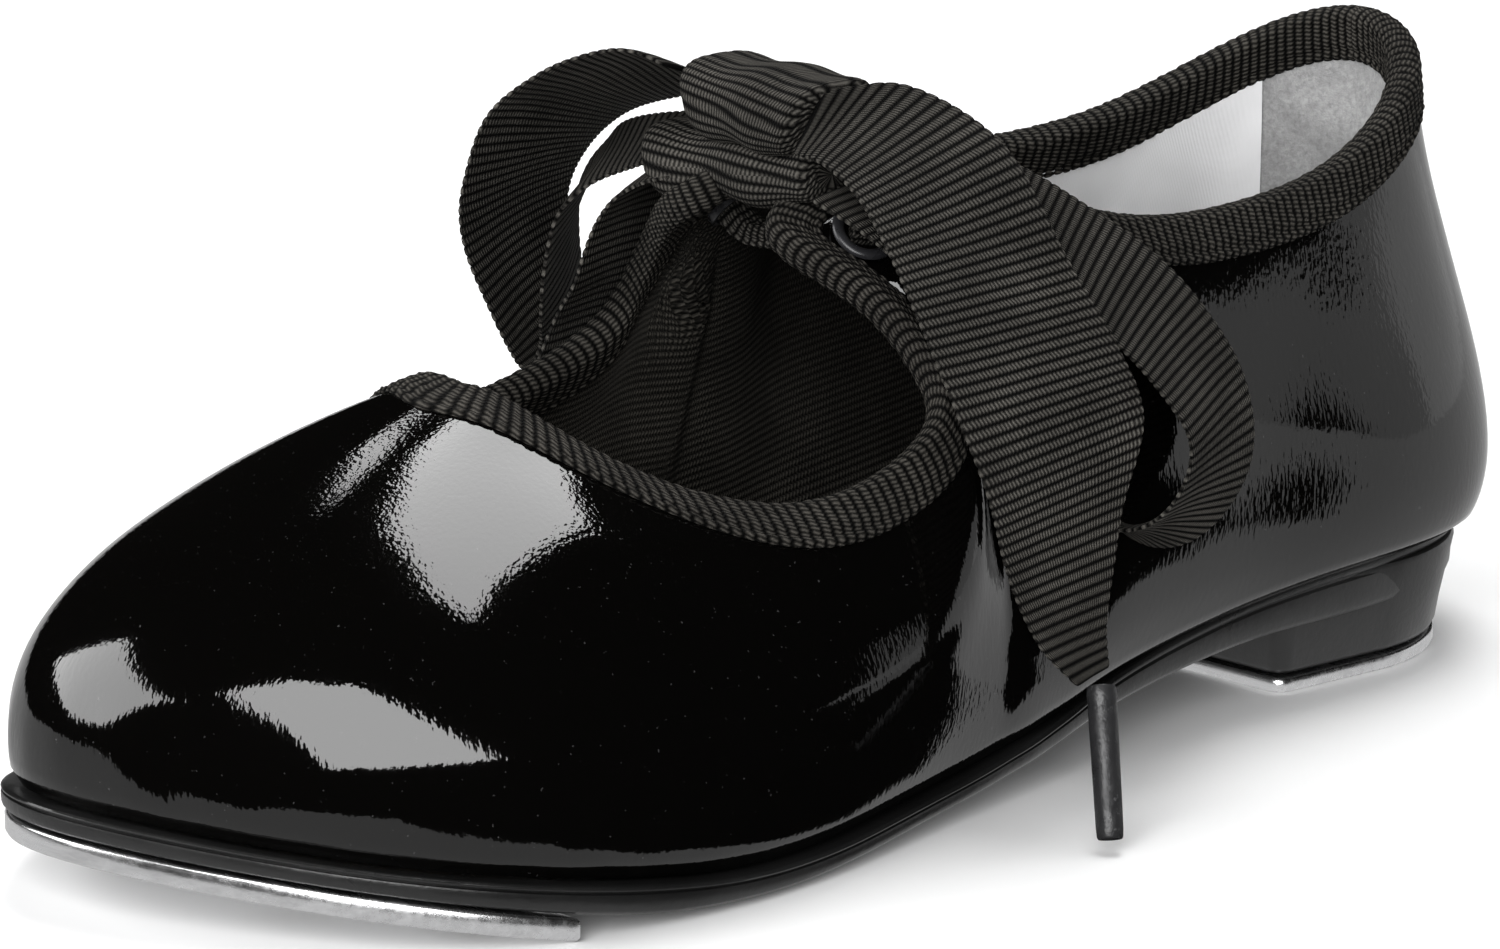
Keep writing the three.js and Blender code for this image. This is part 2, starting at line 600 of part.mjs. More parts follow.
const liningDepth = stiffenerDepth + STIFFENER_THICKNESS + LAYER_GAP;
const lining = pierced(wallLayer(liningDepth, liningDepth + LINING_THICKNESS, 1, TOP_ROW));
const HEEL_LINING_X = 11; // the white heel lining is sewn to the black quarter lining here
addPiece("vamp_lining", frontOf(lining), "blackLining");
const quarterLining = slab(rearOf(lining), "x", HEEL_LINING_X + GAP / 2, EVERYWHERE);
addPiece("quarter_lining_lateral", slab(quarterLining, "y", 0, EVERYWHERE), "blackLining");
addPiece("quarter_lining_medial", slab(quarterLining, "y", -EVERYWHERE, 0), "blackLining");
addPiece("heel_lining", slab(lining, "x", -EVERYWHERE, HEEL_LINING_X - GAP / 2), "whiteLining");

const labelDepth = liningDepth + LINING_THICKNESS + LAYER_GAP;
const LABEL_THICKNESS = 0.3;
const LABEL_ROWS = [3, 5];
const LABEL_X = [-14, 18];
const label = wallLayer(labelDepth, labelDepth + LABEL_THICKNESS, ...LABEL_ROWS);
addPiece("size_label", slab(slab(label, "x", ...LABEL_X), "y", -EVERYWHERE, 0), "whiteLining");

// The binding tape folds over the top edge of the outer and the lining: a rounded edge along
// the topline, hollowed by the layers that it wraps.
const channelGap = LAYER_GAP + 0.1; // round the wrapped layers
const bindingOutside = -channelGap - BINDING_THICKNESS;
const bindingInside = labelDepth + BINDING_THICKNESS;
const BINDING_SHOULDERS = [0.6, bindingInside - 1.5]; // the fold is flat between these depths
const BINDING_RISE = 0.9; // the fold stands this far above the topline
const JUST_BELOW_TOP = 0.97; // a height on the wall that gives its direction at the topline
const BINDING_POINTS = 6;
function bindingRow(s) {
  const ring = wrap(s);
  const { top } = wallFrame(ring);
  const low = vBelowTop(ring, BINDING_DEPTH - GAP);
  const up = top.clone().sub(wallPoint(ring, JUST_BELOW_TOP)).normalize();
  const atTop = (depth, rise) => layerPoint(ring, 1, depth).addScaledVector(up, rise);
  return [
    layerPoint(ring, low, bindingOutside),
    atTop(bindingOutside, 0),
    ...BINDING_SHOULDERS.map((depth) => atTop(depth, BINDING_RISE)),
    atTop(bindingInside, 0),
    layerPoint(ring, low, bindingInside),
  ];
}
const wrappedLayers = wallLayer(-channelGap, labelDepth, WALL_SEGMENTS - 2, TOP_ROW, 0);
const binding = skin(bindingRow, RING_SEGMENTS, BINDING_POINTS, true).subtract(wrappedLayers);
addPiece("vamp_binding", frontOf(binding), "grosgrain");
addPiece("quarter_binding", rearOf(binding), "grosgrain");

// ---------------------------------------------------------------- eyelets
// A rolled rim on the outside of the tab and a short barrel through it.
const EYELET_WALL = 0.4; // thickness of the barrel
const EYELET_ROUND = 0.25; // rounding of the rim
const EYELET_RIM_Z = [0.5, 0.6, 0.7, 1.1]; // heights of the rim's corners above the patent
function eyelet(side) {
  const barrel = liningDepth + LINING_THICKNESS;
  const outside = EYELET_HOLE_RADIUS + EYELET_WALL;
  const profile = [
    v2(EYELET_HOLE_RADIUS, -barrel), v2(outside, -barrel), v2(outside, EYELET_RIM_Z[1]),
    v2(EYELET_RADIUS, EYELET_RIM_Z[0]), v2(EYELET_RADIUS - EYELET_ROUND, EYELET_RIM_Z[3]),
    v2(EYELET_HOLE_RADIUS + EYELET_ROUND, EYELET_RIM_Z[3]), v2(EYELET_HOLE_RADIUS, EYELET_RIM_Z[2]),
    v2(EYELET_HOLE_RADIUS, -barrel),
  ];
  return toSolid(orient(new THREE.LatheGeometry(profile, ROUND_FACETS), eyeletPlace(side)));
}
addPiece("eyelet_lateral", eyelet(1), "enamel");
addPiece("eyelet_medial", eyelet(-1), "enamel");

// ---------------------------------------------------------------- ribbon tie
const KNOT = new THREE.Vector3(67, 0, 63.9);
const KNOT_HALF_LENGTH = 8.5;
const KNOT_HALF_DEPTH = 6.5;
const KNOT_HALF_HEIGHT = 4.1;
const KNOT_END = 0.86; // the band's ends are this much smaller than its middle
const KNOT_FACETS = [4, 14]; // along the band and round it

function knotBand() {
  const [rows, columns] = KNOT_FACETS;
  const rowAt = (t) => {
    const y = lerp(-KNOT_HALF_LENGTH, KNOT_HALF_LENGTH, t);
    const waist = lerp(KNOT_END, 1, Math.sin(Math.PI * t));
    const row = [];
    for (let j = 0; j < columns; j += 1) {
      const angle = (2 * Math.PI * j) / columns;
      row.push(new THREE.Vector3(
        KNOT.x + waist * KNOT_HALF_DEPTH * Math.cos(angle),
        KNOT.y + y,
        KNOT.z + waist * KNOT_HALF_HEIGHT * Math.sin(angle),
      ));
    }
    return row;
  };
  return skin(rowAt, rows, columns, false);
}
addPiece("knot", knotBand(), "grosgrain");

// A strip of ribbon held between its two edges, given as lists of [x, y, z].
function ribbonStrip(frontEdge, rearEdge, segments) {
  const curve = (edge) => new THREE.CatmullRomCurve3(
    edge.map((point) => new THREE.Vector3(...point)), false, "catmullrom", 0.5,
  );
  const front = curve(frontEdge);
  const rear = curve(rearEdge);
  const rowAt = (t) => {
    const a = front.getPoint(t);
    const b = rear.getPoint(t);
    const along = front.getTangent(t).add(rear.getTangent(t));
    const normal = b.clone().sub(a).cross(along).normalize().multiplyScalar(RIBBON_THICKNESS / 2);
    return [a.clone().add(normal), b.clone().add(normal), b.clone().sub(normal), a.clone().sub(normal)];
  };
  return skin(rowAt, segments, 4, false);
}

// Outer (lateral) side: a loop lying on the quarter, and over it the tail that hangs to the floor.
const LATERAL_LOOP_FRONT = [[69, 9.4, 60.5], [62, 16, 57.5], [56, 21.5, 52.5], [50.5, 28, 45],
  [46.8, 32, 39.3], [44, 34, 33.5], [46, 34.6, 28.8], [50.6, 34.4, 26.4], [55.6, 33, 27.6],
  [59.4, 31, 33], [63, 27, 41.4], [66.8, 20, 50.6], [70.5, 10.2, 57.2]];
const LATERAL_LOOP_REAR = [[60, 9.4, 62.8], [54, 13.5, 61], [48.6, 18, 57.4], [41, 24.5, 50.5],
  [35, 28.5, 43], [31.5, 30, 36.5], [32.5, 31, 29.5], [37.6, 31.8, 24.8], [44, 32, 22.8],
  [50, 31, 25.4], [53, 28, 36], [55.4, 21, 50.4], [61.5, 10.2, 58.4]];
const LATERAL_TAIL_FRONT = [[72.2, 9.4, 61.6], [71.5, 12.8, 60.8], [71, 17.8, 57.4], [71, 23.4, 49.8],
  [70.8, 28.8, 41.4], [70.4, 33, 33.4], [70.4, 35.8, 26], [68.4, 38.2, 19], [65, 39.6, 14.8]];
const LATERAL_TAIL_REAR = [[68.4, 9.4, 67], [59.5, 11.6, 66.6], [54.4, 18.6, 61.6], [53.6, 26.4, 52],
  [52.6, 32.4, 43.6], [52.4, 35.6, 37], [57.4, 37.4, 28.5], [61, 39.4, 20.5], [61.6, 40.2, 16]];
// Inner (medial) side: a loop standing out from the quarter, and inside it the tail that curls
// over the topline and drops to the floor.
const MEDIAL_LOOP_FRONT = [[71.5, -9.4, 67.2], [73.6, -12.4, 68.6], [75.4, -16.4, 67.8],
  [76.6, -21.6, 65.6], [77, -26.9, 61.8], [76.8, -31, 56.4], [76, -33.8, 50.8], [74, -35.2, 45.4],
  [71.6, -34.9, 40.2], [69.8, -34.2, 36], [68, -33.4, 33], [68, -31.2, 35.8], [70, -29, 38.5],
  [71.5, -26.8, 43], [71.5, -25.8, 47], [70.5, -25.2, 50.5], [69, -22, 53.8], [69, -16, 56.4],
  [69.5, -9.4, 58.6]];
const MEDIAL_LOOP_REAR = [[62.4, -9.4, 64], [62, -14.4, 63], [61.8, -19, 61.8], [61.6, -23.4, 60.2],
  [61.2, -27.6, 58.2], [60.7, -31.4, 56], [60.4, -34.2, 53], [60, -36, 49.6], [59.5, -37, 44.8],
  [58.8, -37, 40.4], [57, -35.8, 34.4], [57.6, -34.6, 37], [58.8, -34.6, 42.5], [59.3, -33.8, 48.5],
  [59.5, -32, 52.4], [60.2, -28.4, 55.4], [60.8, -24, 57.6], [61.5, -17, 60], [62, -9.4, 61.5]];
const MEDIAL_TAIL_FRONT = [[70.5, -9.4, 56.4], [71, -12.4, 55.8], [71.6, -15.4, 54.8],
  [72, -17.2, 53.7], [72.5, -19.1, 51.8], [73, -20.1, 49.5], [73, -21.2, 46.3], [71.8, -24.6, 42.2],
  [71, -27.6, 37.5], [71.6, -31, 30], [75, -35.4, 23.4], [78, -38.8, 17.6]];
const MEDIAL_TAIL_REAR = [[61.6, -9.4, 59.4], [60.4, -14.5, 58.8], [59.6, -19.3, 57], [59, -23, 55.2],
  [58.5, -26.9, 53], [58.2, -29.4, 50.6], [57.9, -30.4, 47.5], [57.5, -30.7, 43.5], [57.8, -30.6, 39],
  [60.4, -31, 33.4], [66.6, -34.4, 25], [74.8, -38.8, 16.8]];
const LOOP_SEGMENTS = 38;
const TAIL_SEGMENTS = 20;

addPiece("loop_lateral", ribbonStrip(LATERAL_LOOP_FRONT, LATERAL_LOOP_REAR, LOOP_SEGMENTS), "grosgrain");
addPiece("tail_lateral", ribbonStrip(LATERAL_TAIL_FRONT, LATERAL_TAIL_REAR, TAIL_SEGMENTS), "grosgrain");
addPiece("loop_medial", ribbonStrip(MEDIAL_LOOP_FRONT, MEDIAL_LOOP_REAR, LOOP_SEGMENTS), "grosgrain");
addPiece("tail_medial", ribbonStrip(MEDIAL_TAIL_FRONT, MEDIAL_TAIL_REAR, TAIL_SEGMENTS), "grosgrain");

// The moulded tips of the ribbon, each from its top towards the floor.
const AGLET_FACETS = 12;
const AGLET_LATERAL = [[62.4, 40.2, 14.4], [66, 45, 1]];
const AGLET_MEDIAL = [[76.6, -39, 16.2], [79.5, -41, 1]];
function aglet(ends) {
  const [top, tip] = ends.map((end) => new THREE.Vector3(...end));
  const axis = tip.clone().sub(top);
  const geometry = new THREE.CylinderGeometry(AGLET_RADIUS, AGLET_TIP_RADIUS, AGLET_LENGTH, AGLET_FACETS);
  const turn = new THREE.Quaternion().setFromUnitVectors(
    new THREE.Vector3(0, -1, 0), axis.clone().normalize(),
  );
  geometry.applyQuaternion(turn);
  geometry.translate(...top.clone().addScaledVector(axis.normalize(), AGLET_LENGTH / 2).toArray());
  return toSolid(geometry);
}
addPiece("aglet_lateral", aglet(AGLET_LATERAL), "plastic");
addPiece("aglet_medial", aglet(AGLET_MEDIAL), "plastic");

// The ribbon between the eyelets, gathered to pass up through each of them to the knot.
const LACE_OUTSIDE = 2; // it stands this far out of the eyelets
const LACE_INSIDE = 6; // and bends this far behind them
const LACE_RADII = [1.6, 1.2];
function laceBridge() {
  const side = (sign) => {
    const { centre, normal } = eyeletPlace(sign);
    const at = (height) => centre.clone().addScaledVector(normal, height);
    return [at(LACE_OUTSIDE), at(0), at(-LACE_INSIDE)];
  };
  const lateral = side(1);
  const medial = side(-1);
  const middle = lateral[2].clone().lerp(medial[2], 0.5);
  middle.z += 1;
  const path = [...lateral, middle, ...medial.reverse()];
  const curve = new THREE.CatmullRomCurve3(path, false, "catmullrom", 0.5);
  const section = new THREE.Shape();
  section.absellipse(0, 0, ...LACE_RADII, 0, 2 * Math.PI);
  return toSolid(new THREE.ExtrudeGeometry(section, {
    steps: ROUND_FACETS, extrudePath: curve, curveSegments: 2,
  }));
}
addPiece("lace_bridge", laceBridge(), "grosgrain");

export default shoe;
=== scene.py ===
# A child's ribbon-tie tap shoe: the fine surfaces, materials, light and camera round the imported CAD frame.
# Shapes are worked out in millimetres, in the frame's own axes, and become metres when a mesh is made.
import math

import bpy
import numpy as np
from mathutils import Matrix, Vector


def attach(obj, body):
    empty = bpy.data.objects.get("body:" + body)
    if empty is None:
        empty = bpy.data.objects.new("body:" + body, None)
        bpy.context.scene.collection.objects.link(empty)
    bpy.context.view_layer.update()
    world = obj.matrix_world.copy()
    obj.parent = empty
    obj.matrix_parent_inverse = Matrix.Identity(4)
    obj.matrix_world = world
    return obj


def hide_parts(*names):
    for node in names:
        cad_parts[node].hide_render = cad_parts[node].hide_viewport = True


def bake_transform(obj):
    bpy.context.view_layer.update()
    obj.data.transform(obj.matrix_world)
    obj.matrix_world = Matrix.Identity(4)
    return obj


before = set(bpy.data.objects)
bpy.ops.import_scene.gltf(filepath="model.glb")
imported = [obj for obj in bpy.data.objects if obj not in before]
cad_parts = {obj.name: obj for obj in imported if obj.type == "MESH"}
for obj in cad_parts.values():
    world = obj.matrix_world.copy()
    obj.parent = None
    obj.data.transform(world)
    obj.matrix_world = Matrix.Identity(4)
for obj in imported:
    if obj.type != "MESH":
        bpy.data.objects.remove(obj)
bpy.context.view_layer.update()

MM = 0.001
UP = np.array([0.0, 0.0, 1.0])
FORWARD = np.array([1.0, 0.0, 0.0])

# ---------------------------------------------------------------- the shape of the upper
# Stations run from the back of the heel, along the outer side, to the tip of the toe: the feather
# line (x, half width), the topline (x, y, z) and the handles of the wall between them (out and up
# at the foot; out, down and forwards at the top).
STATIONS = [
    (-23.8, 0.0, -18.8, 0.0, 62.3, 7.5, 9, 1, 18, 0),
    (-20.4, 12.2, -15.8, 8.6, 60.3, 6.8, 9, 1, 17, 0),
    (-11.5, 20.8, -8.0, 14.2, 56.0, 6, 9, 2.5, 16, 0),
    (4.0, 23.6, 5.0, 17.2, 51.6, 5.5, 10, 4, 14, 0),
    (18.0, 22.2, 20.0, 19.0, 50.2, 5.5, 11, 5, 13, 0),
    (29.0, 21.2, 33.0, 20.0, 50.8, 6, 12, 6, 13, 0),
    (38.0, 21.2, 43.5, 19.6, 53.2, 6, 13, 8, 13, -1),
    (45.0, 21.7, 50.5, 16.5, 56.4, 6, 14, 11, 11, -2),
    (50.0, 22.4, 56.0, 10.2, 57.8, 6, 15, 14, 6, -3),
    (54.0, 23.1, 60.5, 5.2, 57.6, 6, 15, 15, 2, -4),
    (57.5, 23.8, 66.5, 4.2, 56.2, 6, 15, 15, 2, -7),
    (60.5, 24.2, 70.8, 6.0, 54.2, 6, 15, 14, 4, -12),
    (63.0, 24.6, 69.8, 11.0, 51.6, 6, 15, 6, 3, -14),
    (66.5, 25.2, 66.8, 16.6, 47.6, 6, 14, 4.5, 6, -10),
    (72.0, 26.2, 65.4, 21.8, 41.4, 6, 13, 4.5, 8, -5),
    (79.5, 28.0, 68.4, 24.4, 36.4, 6, 13, 5.5, 9, -1.5),
    (88.5, 30.2, 78.0, 25.3, 33.0, 6, 13, 6.5, 9, 0),
    (99.0, 31.8, 88.0, 24.0, 32.6, 6, 13, 9, 8, 0),
    (110.5, 31.8, 96.5, 19.4, 35.0, 5.5, 14, 13, 8, 0),
    (122.5, 29.6, 102.2, 12.6, 38.8, 5.5, 15, 18, 9, 0),
    (134.0, 23.6, 105.0, 6.2, 42.0, 5, 16, 22, 9, 0),
    (143.5, 13.6, 105.9, 2.4, 42.9, 4, 17, 24, 9, 0),
    (148.6, 0.0, 106.2, 0.0, 43.0, 3.5, 17, 25, 9, 0),
]
MEDIAL_LIFT = 2.0  # the topline of the inner side is this much higher
CENTRE_LINE = [(-24, 0), (0, 0.3), (20, 1.2), (40, 2), (66, 2.2), (84, 1.6), (100, 0.8), (112, 0.2),
               (121, -0.2), (132, -1.5), (138, -3.2), (144, -5.6), (149, -8)]
FEATHER_HEIGHT = [(-30, 13), (6, 13), (18, 12), (30, 10.3), (42, 8.4), (52, 6.3), (67, 4.4), (79, 3.5),
                  (90, 3), (101, 3.2), (112, 4.5), (120, 5.7), (132, 7.6), (140, 9), (150, 11)]
SOLE_BOTTOM = [(-30, 7.6), (16, 7.3), (32, 6.2), (44, 5), (54, 3.6), (73, 1.7), (91, 0.6), (101, 0.6),
               (110, 1.1)]
TOE_TAP_X = 119.2
TOE_TAP_THICKNESS = 2.2
TOE_SPRING = math.radians(11)
GAP = 0.3

OUTER_THICKNESS = 1.1
LINING_DEPTH = 2.55
LINING_RIM_DEPTH = 1.45  # the lining closes up against the outer at the topline
LINING_THICKNESS = 0.7
LASTING_MARGIN = 7.0
# The pieces that span the ball of the foot are given these two bodies and two places, in metres.
BEND = ("rear_shoe", "forefoot", (0.076, 0.0, 0.0015), (0.104, 0.0, 0.0015))


def smooth_through(pairs, x):
    """Cubic Hermite interpolation through (x, value) pairs, flat beyond both ends."""
    knots = np.array(pairs, float)
    px, py = knots[:, 0], knots[:, 1]
    slope = np.gradient(py, px)
    slope[1:-1] = (py[2:] - py[:-2]) / (px[2:] - px[:-2])
    x = np.clip(x, px[0], px[-1])
    i = np.clip(np.searchsorted(px, x, side="right") - 1, 0, len(px) - 2)
    span = px[i + 1] - px[i]
    t = (x - px[i]) / span
    rise = 3 * t**2 - 2 * t**3
    return ((1 - rise) * py[i] + rise * py[i + 1]
            + (t**3 - 2 * t**2 + t) * span * slope[i] + (t**3 - t**2) * span * slope[i + 1])


def sole_bottom(x):
    curve = SOLE_BOTTOM + [(TOE_TAP_X, TOE_TAP_THICKNESS + GAP)]
    straight = TOE_TAP_THICKNESS + GAP + (x - TOE_TAP_X) * math.tan(TOE_SPRING)
    return np.where(x < TOE_TAP_X, smooth_through(curve, x), straight)


def feather_height(x):
    return smooth_through(FEATHER_HEIGHT, x)


def smoothstep(low, high, x):
    t = np.clip((np.asarray(x, float) - low) / (high - low), 0, 1)
    return t * t * (3 - 2 * t)


def arc_length(points):
    """How far along the line each of its points is."""
    return np.concatenate([[0], np.cumsum(np.linalg.norm(np.diff(points, axis=0), axis=1))])


RING_STEPS = 64  # samples for each station of the ring table


def ring_spline(points):
    """A closed curve with smooth curvature through the points, as RING_STEPS samples for each."""
    count = len(points)
    response = (2 + np.cos(2 * np.pi * np.arange(count) / count)) / 3
    control = np.fft.ifft(np.fft.fft(points, axis=0) / response[:, None], axis=0).real
    t = np.arange(RING_STEPS) / RING_STEPS
    basis = [(1 - t) ** 3, 3 * t**3 - 6 * t**2 + 4, 1 + 3 * t + 3 * t**2 - 3 * t**3, t**3]
    rows = sum(b[None, :, None] / 6 * np.roll(control, 1 - k, axis=0)[:, None] for k, b in enumerate(basis))
    return rows.reshape(count * RING_STEPS, -1)


def ring_table():
    """Foot, outward direction, top and handles of the wall, closely spaced round the shoe."""
    table = np.array(STATIONS)
    last = len(table) - 1
    centre = smooth_through(CENTRE_LINE, table[:, 0])
    lateral = table.copy()
    lateral[:, 1] = centre + table[:, 1]
    medial = table.copy()
    medial[:, 1] = centre - table[:, 1]
    medial[:, 3] = -table[:, 3]
    medial[:, 4] = table[:, 4] + MEDIAL_LIFT * np.sin(np.pi * np.arange(last + 1) / last)
    dense = ring_spline(np.vstack([lateral, medial[1:last][::-1]]))
    foot = np.column_stack([dense[:, :2], feather_height(dense[:, 0])])
    # A slight smoothing takes out the steps in curvature that a mirror gloss would show.
    count = len(foot)
    wave = np.fft.fftfreq(count, 1 / count)
    keep = np.exp(-0.5 * (wave / last) ** 2)
    foot = np.fft.ifft(np.fft.fft(foot, axis=0) * keep[:, None], axis=0).real
    tangent = np.roll(foot, -1, axis=0) - np.roll(foot, 1, axis=0)
    out = np.column_stack([-tangent[:, 1], tangent[:, 0], np.zeros(count)])
    out /= np.linalg.norm(out, axis=1, keepdims=True)
    return np.hstack([foot, out, dense[:, 2:5], dense[:, 5:10]])


RING = ring_table()
RING_COUNT = len(RING)


def ring_sample(s):
    """foot, out, top, stand and lean at the places s, from 0 to 1 round the shoe."""
    place = (np.asarray(s, float) % 1) * RING_COUNT
    low = np.floor(place).astype(int) % RING_COUNT
    part = (place - np.floor(place))[:, None]
    row = RING[low] * (1 - part) + RING[(low + 1) % RING_COUNT] * part
    return row[:, 0:3], row[:, 3:6], row[:, 6:9], row[:, 9:11], row[:, 11:14]


def wall(s, v):
    """Points of the upper's outer face. v has one row for each s."""
    foot, out, top, stand, lean = ring_sample(s)
    v = np.broadcast_to(v, (len(s), np.shape(v)[-1]))[..., None]
    low = foot + out * stand[:, :1] + UP * stand[:, 1:2]
    high = top + out * lean[:, :1] - UP * lean[:, 1:2] + FORWARD * lean[:, 2:3]
    foot, low, high, top = (part[:, None, :] for part in (foot, low, high, top))
    return (1 - v) ** 3 * foot + 3 * (1 - v) ** 2 * v * low + 3 * (1 - v) * v**2 * high + v**3 * top


def wall_normal(s, v):
    s = np.asarray(s, float)
    v = np.broadcast_to(v, (len(s), np.shape(v)[-1]))
    along = wall(s + 0.001, v) - wall(s - 0.001, v)
    up = wall(s, np.minimum(v + 0.002, 1)) - wall(s, np.maximum(v - 0.002, 0))
    normal = np.cross(up, along)
    return normal / np.linalg.norm(normal, axis=-1, keepdims=True)


def layer(s, v, depth):
    """The wall moved inwards by a depth, which may differ from point to point."""
    depth = np.broadcast_to(depth, np.broadcast_to(v, (len(s), np.shape(v)[-1])).shape)
    return wall(s, v) - wall_normal(s, v) * depth[..., None]


def v_below_top(s, distance):
    """The heights v at which the wall is this far below its top edge, one for each s."""
    v = np.linspace(1, 0.3, 281)
    reach = np.linalg.norm(wall(s, v) - wall(s, np.array([1.0])), axis=-1)
    return np.array([np.interp(distance, row, v) for row in reach])


def topline_length():
    """The places s of the ring table, and the length along the topline at each."""
    s = np.arange(RING_COUNT + 1) / RING_COUNT
    return s, arc_length(RING[np.arange(RING_COUNT + 1) % RING_COUNT, 6:9])


rng = np.random.default_rng(11)


def ripple(points, wavelength, amount, waves=24):
    """Smooth random relief: a sum of waves in random directions, about as long as wavelength."""
    direction = rng.normal(size=(waves, 3))
    direction /= np.linalg.norm(direction, axis=1, keepdims=True)
    number = 2 * np.pi / (wavelength * rng.uniform(0.7, 1.5, waves))
    phase = rng.uniform(0, 2 * np.pi, waves)
    total = np.sin(points @ (direction * number[:, None]).T + phase).sum(axis=-1)
    return amount * total * math.sqrt(2 / waves)


# ---------------------------------------------------------------- meshes
def new_object(name, points, faces, material, uv=None, sharp=None):
    mesh = bpy.data.meshes.new(name)
    mesh.from_pydata((np.asarray(points) * MM).tolist(), [], faces)
    mesh.materials.append(material)
    if uv is not None:
        mesh.uv_layers.new(name="weave").uv.foreach_set("vector", np.asarray(uv, np.float32).ravel())
    mesh.shade_smooth()
    if sharp is not None:
        mesh.set_sharp_from_angle(angle=math.radians(sharp))
    made = bpy.data.objects.new(name, mesh)
    bpy.context.scene.collection.objects.link(made)
    return made


def grid(name, points, material, wrap_rows=False, wrap_cols=False, uv=None, flip=False, sharp=None):
    """A surface through rows and columns of points. uv has one more row or column where it wraps."""
    rows, cols = points.shape[:2]
    i, j = np.meshgrid(np.arange(rows if wrap_rows else rows - 1),
                       np.arange(cols if wrap_cols else cols - 1), indexing="ij")
    corners = [(i, j), (i + 1, j), (i + 1, j + 1), (i, j + 1)]
    if flip:
        corners.reverse()
    faces = np.stack([(a % rows) * cols + b % cols for a, b in corners], -1).reshape(-1, 4)
    if uv is not None:
        uv = np.stack([uv[a, b] for a, b in corners], -2).reshape(-1, 2)
    return new_object(name, points.reshape(-1, 3), faces.tolist(), material, uv, sharp)


def joined(name, objects):
    """Several meshes as one object."""
    bpy.ops.object.select_all(action="DESELECT")
    for made in objects:
        made.select_set(True)
    bpy.context.view_layer.objects.active = objects[0]
    bpy.ops.object.join()
    objects[0].name = name
    return objects[0]


def capped(rows, uv):
    """Closes both ends of a tube of rows by a last row at its middle."""
    first, last = (np.broadcast_to(row.mean(axis=0), row.shape)[None] for row in (rows[0], rows[-1]))
    return np.concatenate([first, rows, last]), np.concatenate([uv[:1], uv, uv[-1:]])


def cloth_uv(across, along):
    """Where each column of a grid lies across the cloth, and each row along it."""
    return np.stack(np.broadcast_arrays(across[None, :], along[:, None]), -1)


def fitted(made, slot, nodes, *carried):
    """Hides these CAD nodes in the piece's place, and ties it to what carries it when there is one carrier,
    else fixes it where it stands. slot is not used.
    """
    if len(carried) == 1:
        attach(made, *carried)
    else:
        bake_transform(made)
    if nodes:
        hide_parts(*nodes)


# ---------------------------------------------------------------- materials
def node(tree, kind, settings=None, **inputs):
    made = tree.nodes.new("ShaderNode" + kind)
    for key, value in (settings or {}).items():
        setattr(made, key, value)
    for key, value in inputs.items():
        put(tree, made.inputs[key.replace("_", " ")], value)
    return made


def put(tree, socket, value):
    if isinstance(value, bpy.types.NodeSocket):
        tree.links.new(value, socket)
    else:
        socket.default_value = value


def calc(tree, operation, *values):
    made = tree.nodes.new("ShaderNodeMath")
    made.operation = operation
    for socket, value in zip(made.inputs, values):
        put(tree, socket, value)
    return made.outputs[0]


def spread(tree, value, low, high, to_low=0.0, to_high=1.0):
    made = node(tree, "MapRange", Value=value)
    for key, number in (("From Min", low), ("From Max", high), ("To Min", to_low), ("To Max", to_high)):
        put(tree, made.inputs[key], number)
    return made.outputs[0]


def noise(tree, scale, detail=2.0, roughness=0.5, vector=None, stretch=None):
    """Noise over the object's own space, in features of about 1/scale metres."""
    if vector is None:
        vector = node(tree, "TexCoord").outputs["Object"]
    if stretch:
        vector = node(tree, "Mapping", Vector=vector, Scale=stretch).outputs[0]
    return node(tree, "TexNoise", Vector=vector, Scale=scale, Detail=detail, Roughness=roughness).outputs[0]


def mixed(tree, factor, a, b):
    made = node(tree, "Mix", {"data_type": "RGBA"})
    put(tree, made.inputs[0], factor)
    put(tree, made.inputs[6], (*a, 1) if isinstance(a, tuple) else a)
    put(tree, made.inputs[7], (*b, 1) if isinstance(b, tuple) else b)
    return made.outputs[2]


def bump(tree, height, distance, strength=1.0, normal=None):
    made = node(tree, "Bump", Strength=strength, Distance=distance, Height=height)
    if normal is not None:
        put(tree, made.inputs["Normal"], normal)
    return made.outputs[0]


def new_material(name, colour, roughness, **settings):
    material = bpy.data.materials.new(name)
    material.use_nodes = True
    tree = material.node_tree
    shader = tree.nodes["Principled BSDF"]
    put(tree, shader.inputs["Base Color"], (*colour, 1))
    put(tree, shader.inputs["Roughness"], roughness)
    for key, value in settings.items():
        put(tree, shader.inputs[key.replace("_", " ")], value)
    return material, tree, shader.inputs


def weave_uv(tree):
    """(across, along) the cloth in millimetres."""
    split = node(tree, "SeparateXYZ", Vector=node(tree, "UVMap", {"uv_map": "weave"}).outputs[0])
    return split.outputs[0], split.outputs[1]


def patent():
    """Black patent: a clear mirror gloss over black, with a fine upright grain and orange peel."""
    black, dust = (0.0011, 0.0010, 0.0009), (0.03, 0.03, 0.03)
    material, tree, inputs = new_material("patent", black, 0.045, IOR=1.56)
    swell = bump(tree, noise(tree, 130, 1.0), 0.000012)
    grain = bump(tree, noise(tree, 1.0, 1.0, stretch=(2200, 2200, 800)), 0.000016, 1.0, swell)
    put(tree, inputs["Normal"], bump(tree, noise(tree, 1500, 2.5, 0.6), 0.0000045, 1.0, grain))
    put(tree, inputs["Roughness"], spread(tree, noise(tree, 70, 3.0), 0.3, 0.7, 0.035, 0.065))
    specks = spread(tree, noise(tree, 2600, 1.0), 0.74, 0.80)
    put(tree, inputs["Base Color"], mixed(tree, specks, black, dust))
    return material


